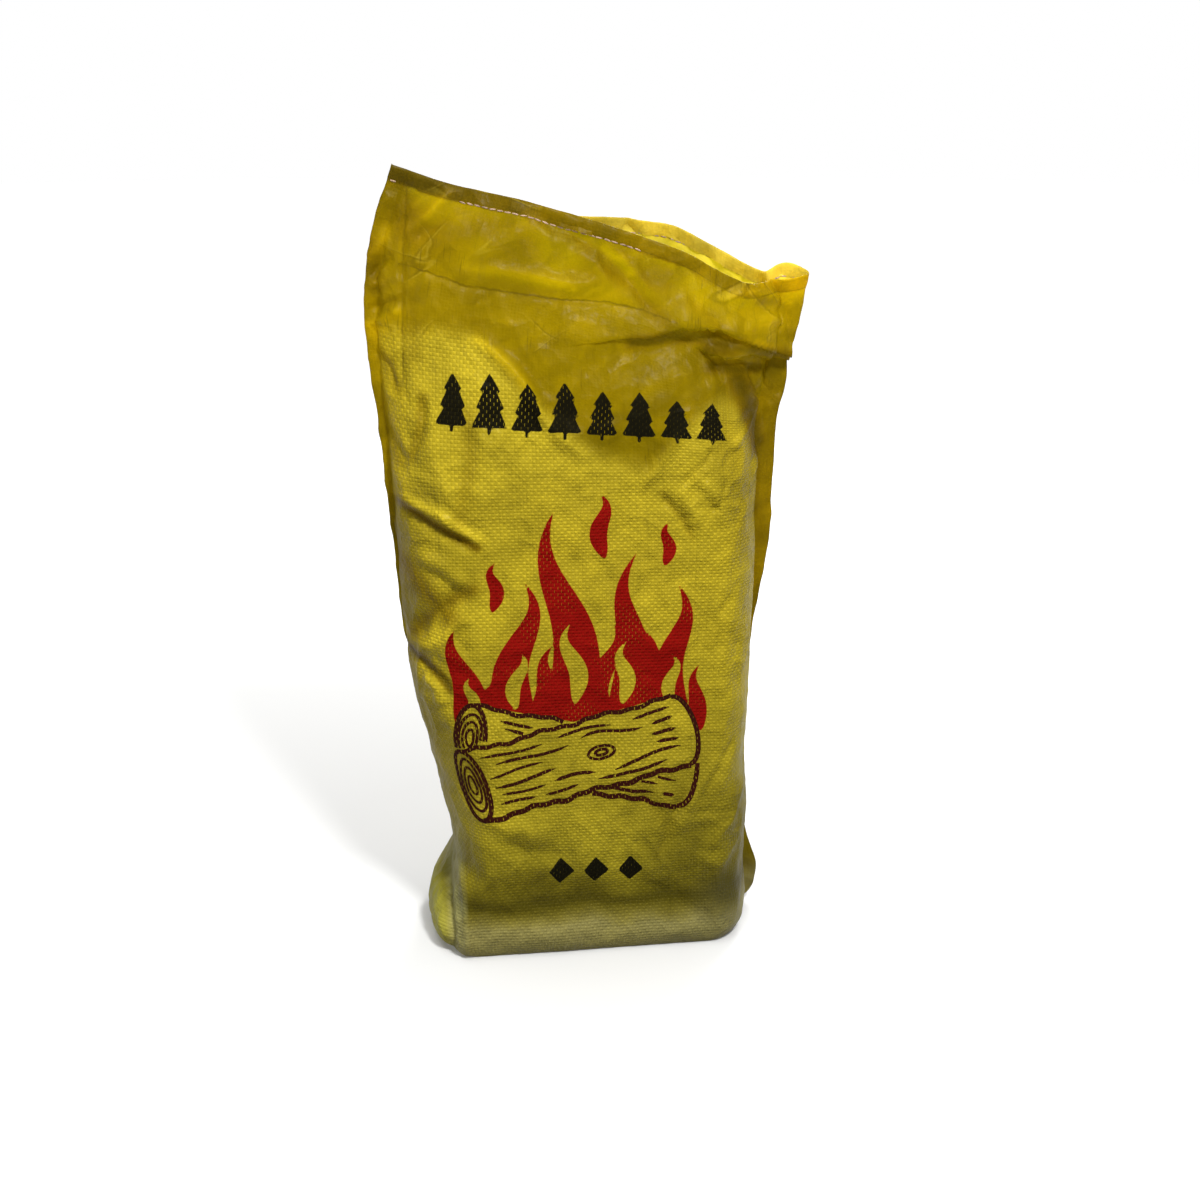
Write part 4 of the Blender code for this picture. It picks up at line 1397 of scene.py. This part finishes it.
class FIREWOOD_OT_stitches(bpy.types.Operator):
    """Sews the hem: a row of short stitches all round, under the turned edge"""

    bl_idname = "firewood.stitches"
    bl_label = "Hem stitches"

    def execute(self, context):
        s = context.scene.firewood
        cloth = shaped_cloth()
        bm = bmesh.new()
        rng = random.Random(11)
        seam = cloth.up[-HEM_ROWS - 1] - HEM_WIDTH
        for i in range(int(2 * PANEL / s.hem.stitch_pitch)):
            start = (i + 0.5) * s.hem.stitch_pitch + rng.uniform(-0.0004, 0.0004)
            tilt = rng.uniform(-0.0005, 0.0005)
            ends = cloth.at(
                np.array((start, start + s.hem.stitch)), np.array((seam - tilt, seam + tilt)), 0.0,
            )
            lifted = cloth.at(np.array((start,)), np.array((seam,)), 0.001)[0]
            if start < PANEL and not any(left < ends[0][0] < right for left, right in THREAD_SHOWS):
                continue
            along = Vector(ends[1] - ends[0])
            up = (Vector(lifted) - Vector(ends[0])).normalized()
            side = along.normalized().cross(up).normalized()
            up = side.cross(along.normalized())
            middle = Vector((ends[0] + ends[1]) / 2) + up * 0.0002
            axes = Matrix((along / 2, side * 0.0008, up * 0.0005)).transposed().to_4x4()
            turn = Matrix.Translation(middle) @ axes @ Matrix.Rotation(math.pi / 2, 4, "Y")
            bmesh.ops.create_uvsphere(bm, u_segments=6, v_segments=5, radius=1.0, matrix=turn)
        bmesh.ops.recalc_face_normals(bm, faces=bm.faces[:])
        mesh = bpy.data.meshes.new("hem_stitches")
        bm.to_mesh(mesh)
        bm.free()
        piece = new_object("hem_stitches", mesh, [thread_material(s)])
        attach(piece, "root")
        return {"FINISHED"}


class FIREWOOD_OT_billets(bpy.types.Operator):
    """Tears the faces of the split billets and saws their ends"""

    bl_idname = "firewood.billets"
    bl_label = "Split billets"

    def execute(self, context):
        s = context.scene.firewood
        finishes = [
            wood_material("split hardwood face", s.wood.split, s.wood.split_dark, False),
            wood_material("sawn hardwood end", s.wood.sawn, s.wood.sawn_dark, True),
        ]
        for name in sorted(n for n in frame["nodes"] if n.startswith("billet")):
            bm = bmesh.new()
            bm.from_mesh(bpy.data.objects[name].data)
            bmesh.ops.remove_doubles(bm, verts=bm.verts[:], dist=0.00002)
            bmesh.ops.dissolve_limit(bm, angle_limit=0.02, verts=bm.verts[:], edges=bm.edges[:])
            bmesh.ops.triangulate(bm, faces=bm.faces[:])
            for reach in (0.040, 0.020, 0.010, 0.007):
                long = [e for e in bm.edges if e.calc_length() > reach]
                bmesh.ops.subdivide_edges(bm, edges=long, cuts=1)
                bmesh.ops.triangulate(bm, faces=bm.faces[:])
            bm.normal_update()
            top, foot = max(v.co.z for v in bm.verts), min(v.co.z for v in bm.verts)
            for v in bm.verts:
                grain = noise.noise(Vector((v.co.x * 150, v.co.y * 150, v.co.z * 9)))
                tear = noise.noise(Vector((v.co.x * 45, v.co.y * 45, v.co.z * 14 + 7)))
                inward = min(0.0, -0.35 + 0.5 * grain + 0.6 * tear)
                if foot + 0.004 < v.co.z < top - 0.004:
                    v.co += v.normal * inward * s.wood.splinter
            for face in bm.faces:
                face.material_index = int(abs(face.normal.z) > 0.75)
            mesh = bpy.data.meshes.new(name + "_wood")
            bm.to_mesh(mesh)
            bm.free()
            piece = new_object(name + "_wood", mesh, finishes)
            mesh.polygons.foreach_set("use_smooth", [False] * len(mesh.polygons))
            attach(piece, "root")
            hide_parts(name)
        return {"FINISHED"}


AIR_LIGHT = 0.14
# name, kind, place, target, size (metres, or degrees for a sun), strength
LIGHTS = (
    ("sky_window", "SUN", (-0.1, 0.3, 3.0), (0.0, 0.0, 0.0), 60.0, 1.60),
    ("front_window", "AREA", (0.42, -1.5, 2.05), (0.0, 0.0, 0.50), 0.40, 52.0),
    ("left_window", "AREA", (-1.7, -1.3, 0.9), (0.0, 0.0, 0.4), 0.8, 8.0),
    ("back_window", "AREA", (0.9, 1.6, 1.7), (0.05, 0.0, 0.55), 0.9, 30.0),
)
CAMERA_LOOKS = (-0.0035, 0.0, 0.364)
CAMERA_AT = (-0.2042, -1.4279, 0.7775)
CAMERA_LENS = 49.5
CAMERA_SHIFT = (0.0108, -0.0425)


class FIREWOOD_OT_stage(bpy.types.Operator):
    """Sets the pale floor, the lights and the camera"""

    bl_idname = "firewood.stage"
    bl_label = "Studio stage"

    def execute(self, context):
        scene = context.scene
        bm = bmesh.new()
        bmesh.ops.create_circle(bm, cap_ends=True, segments=96, radius=12.0)
        mesh = bpy.data.meshes.new("studio_floor")
        bm.to_mesh(mesh)
        bm.free()
        paint = bpy.data.materials.new("matt studio paint")
        paint.use_nodes = True
        shader = paint.node_tree.nodes["Principled BSDF"]
        shader.inputs["Base Color"].default_value = scene.firewood.stage.floor
        shader.inputs["Roughness"].default_value = 0.9
        shader.inputs["Specular IOR Level"].default_value = 0.1
        # Away from the sack the ground glows like a light table, so it runs into the white behind.
        shader.inputs["Emission Color"].default_value = scene.firewood.stage.floor
        node = partial(add_node, paint.node_tree)
        far = node("VectorMath", node("TexCoord", output="Object"), operation="LENGTH")
        glow = node("MapRange", far, 0.35, 2.0, 0.10, 0.75)
        paint.node_tree.links.new(glow, shader.inputs["Emission Strength"])
        floor = new_object("studio_floor", mesh, [paint])
        # The floor throws no light back, so that the folds keep their shade.
        floor.visible_diffuse = False

        world = bpy.data.worlds.new("studio")
        scene.world = world
        world.use_nodes = True
        world.node_tree.nodes.clear()
        node = partial(add_node, world.node_tree)
        air, seen = (node("Background", (1, 1, 1, 1), strength) for strength in (AIR_LIGHT, 1.0))
        node("OutputWorld", node("MixShader", node("LightPath", output="Is Camera Ray"), air, seen))

        for name, kind, spot, target, size, power in LIGHTS:
            light = bpy.data.lights.new(name, kind)
            light.energy = power
            if kind == "SUN":
                light.angle = math.radians(size)
            else:
                light.shape, light.size = "DISK", size
            lamp = bpy.data.objects.new(name, light)
            lamp.location = spot
            lamp.rotation_euler = (Vector(target) - Vector(spot)).to_track_quat("-Z", "Y").to_euler()
            scene.collection.objects.link(lamp)

        camera = bpy.data.cameras.new("camera")
        camera.lens, camera.sensor_width = CAMERA_LENS, 36
        camera.shift_x, camera.shift_y = CAMERA_SHIFT
        camera.clip_end = 60
        eye = bpy.data.objects.new("camera", camera)
        eye.location = CAMERA_AT
        eye.rotation_euler = (Vector(CAMERA_LOOKS) - Vector(CAMERA_AT)).to_track_quat("-Z", "Y").to_euler()
        scene.collection.objects.link(eye)
        scene.camera = eye
        scene.view_settings.view_transform = "Standard"
        return {"FINISHED"}


class FIREWOOD_PT_panel(bpy.types.Panel):
    """Lists the pieces of the sack and its settings"""

    bl_idname = "FIREWOOD_PT_panel"
    bl_label = "Firewood"
    bl_space_type = "VIEW_3D"
    bl_region_type = "UI"
    bl_category = "Firewood"

    def draw(self, context):
        for operator in OPERATORS:
            self.layout.operator(operator.bl_idname)
        for name in SackSettings.__annotations__:
            box = self.layout.box()
            group = getattr(context.scene.firewood, name)
            box.label(text=SackSettings.bl_rna.properties[name].name)
            for setting in type(group).__annotations__:
                box.prop(group, setting)


OPERATORS = (
    FIREWOOD_OT_sack, FIREWOOD_OT_print, FIREWOOD_OT_stitches, FIREWOOD_OT_billets, FIREWOOD_OT_stage,
)
SETTINGS = (
    ClothSettings, MarkSettings, PrintSettings, StitchSettings, WoodSettings, StageSettings, SackSettings,
)
CLASSES = (*SETTINGS, *OPERATORS, FIREWOOD_PT_panel)


def register():
    for cls in CLASSES:
        bpy.utils.register_class(cls)
    bpy.types.Scene.firewood = PointerProperty(type=SackSettings)


def unregister():
    del bpy.types.Scene.firewood
    for cls in reversed(CLASSES):
        bpy.utils.unregister_class(cls)


def main():
    register()
    bpy.ops.firewood.sack()
    bpy.ops.firewood.print()
    bpy.ops.firewood.stitches()
    bpy.ops.firewood.billets()
    bpy.ops.firewood.stage()


if __name__ == "__main__":
    main()
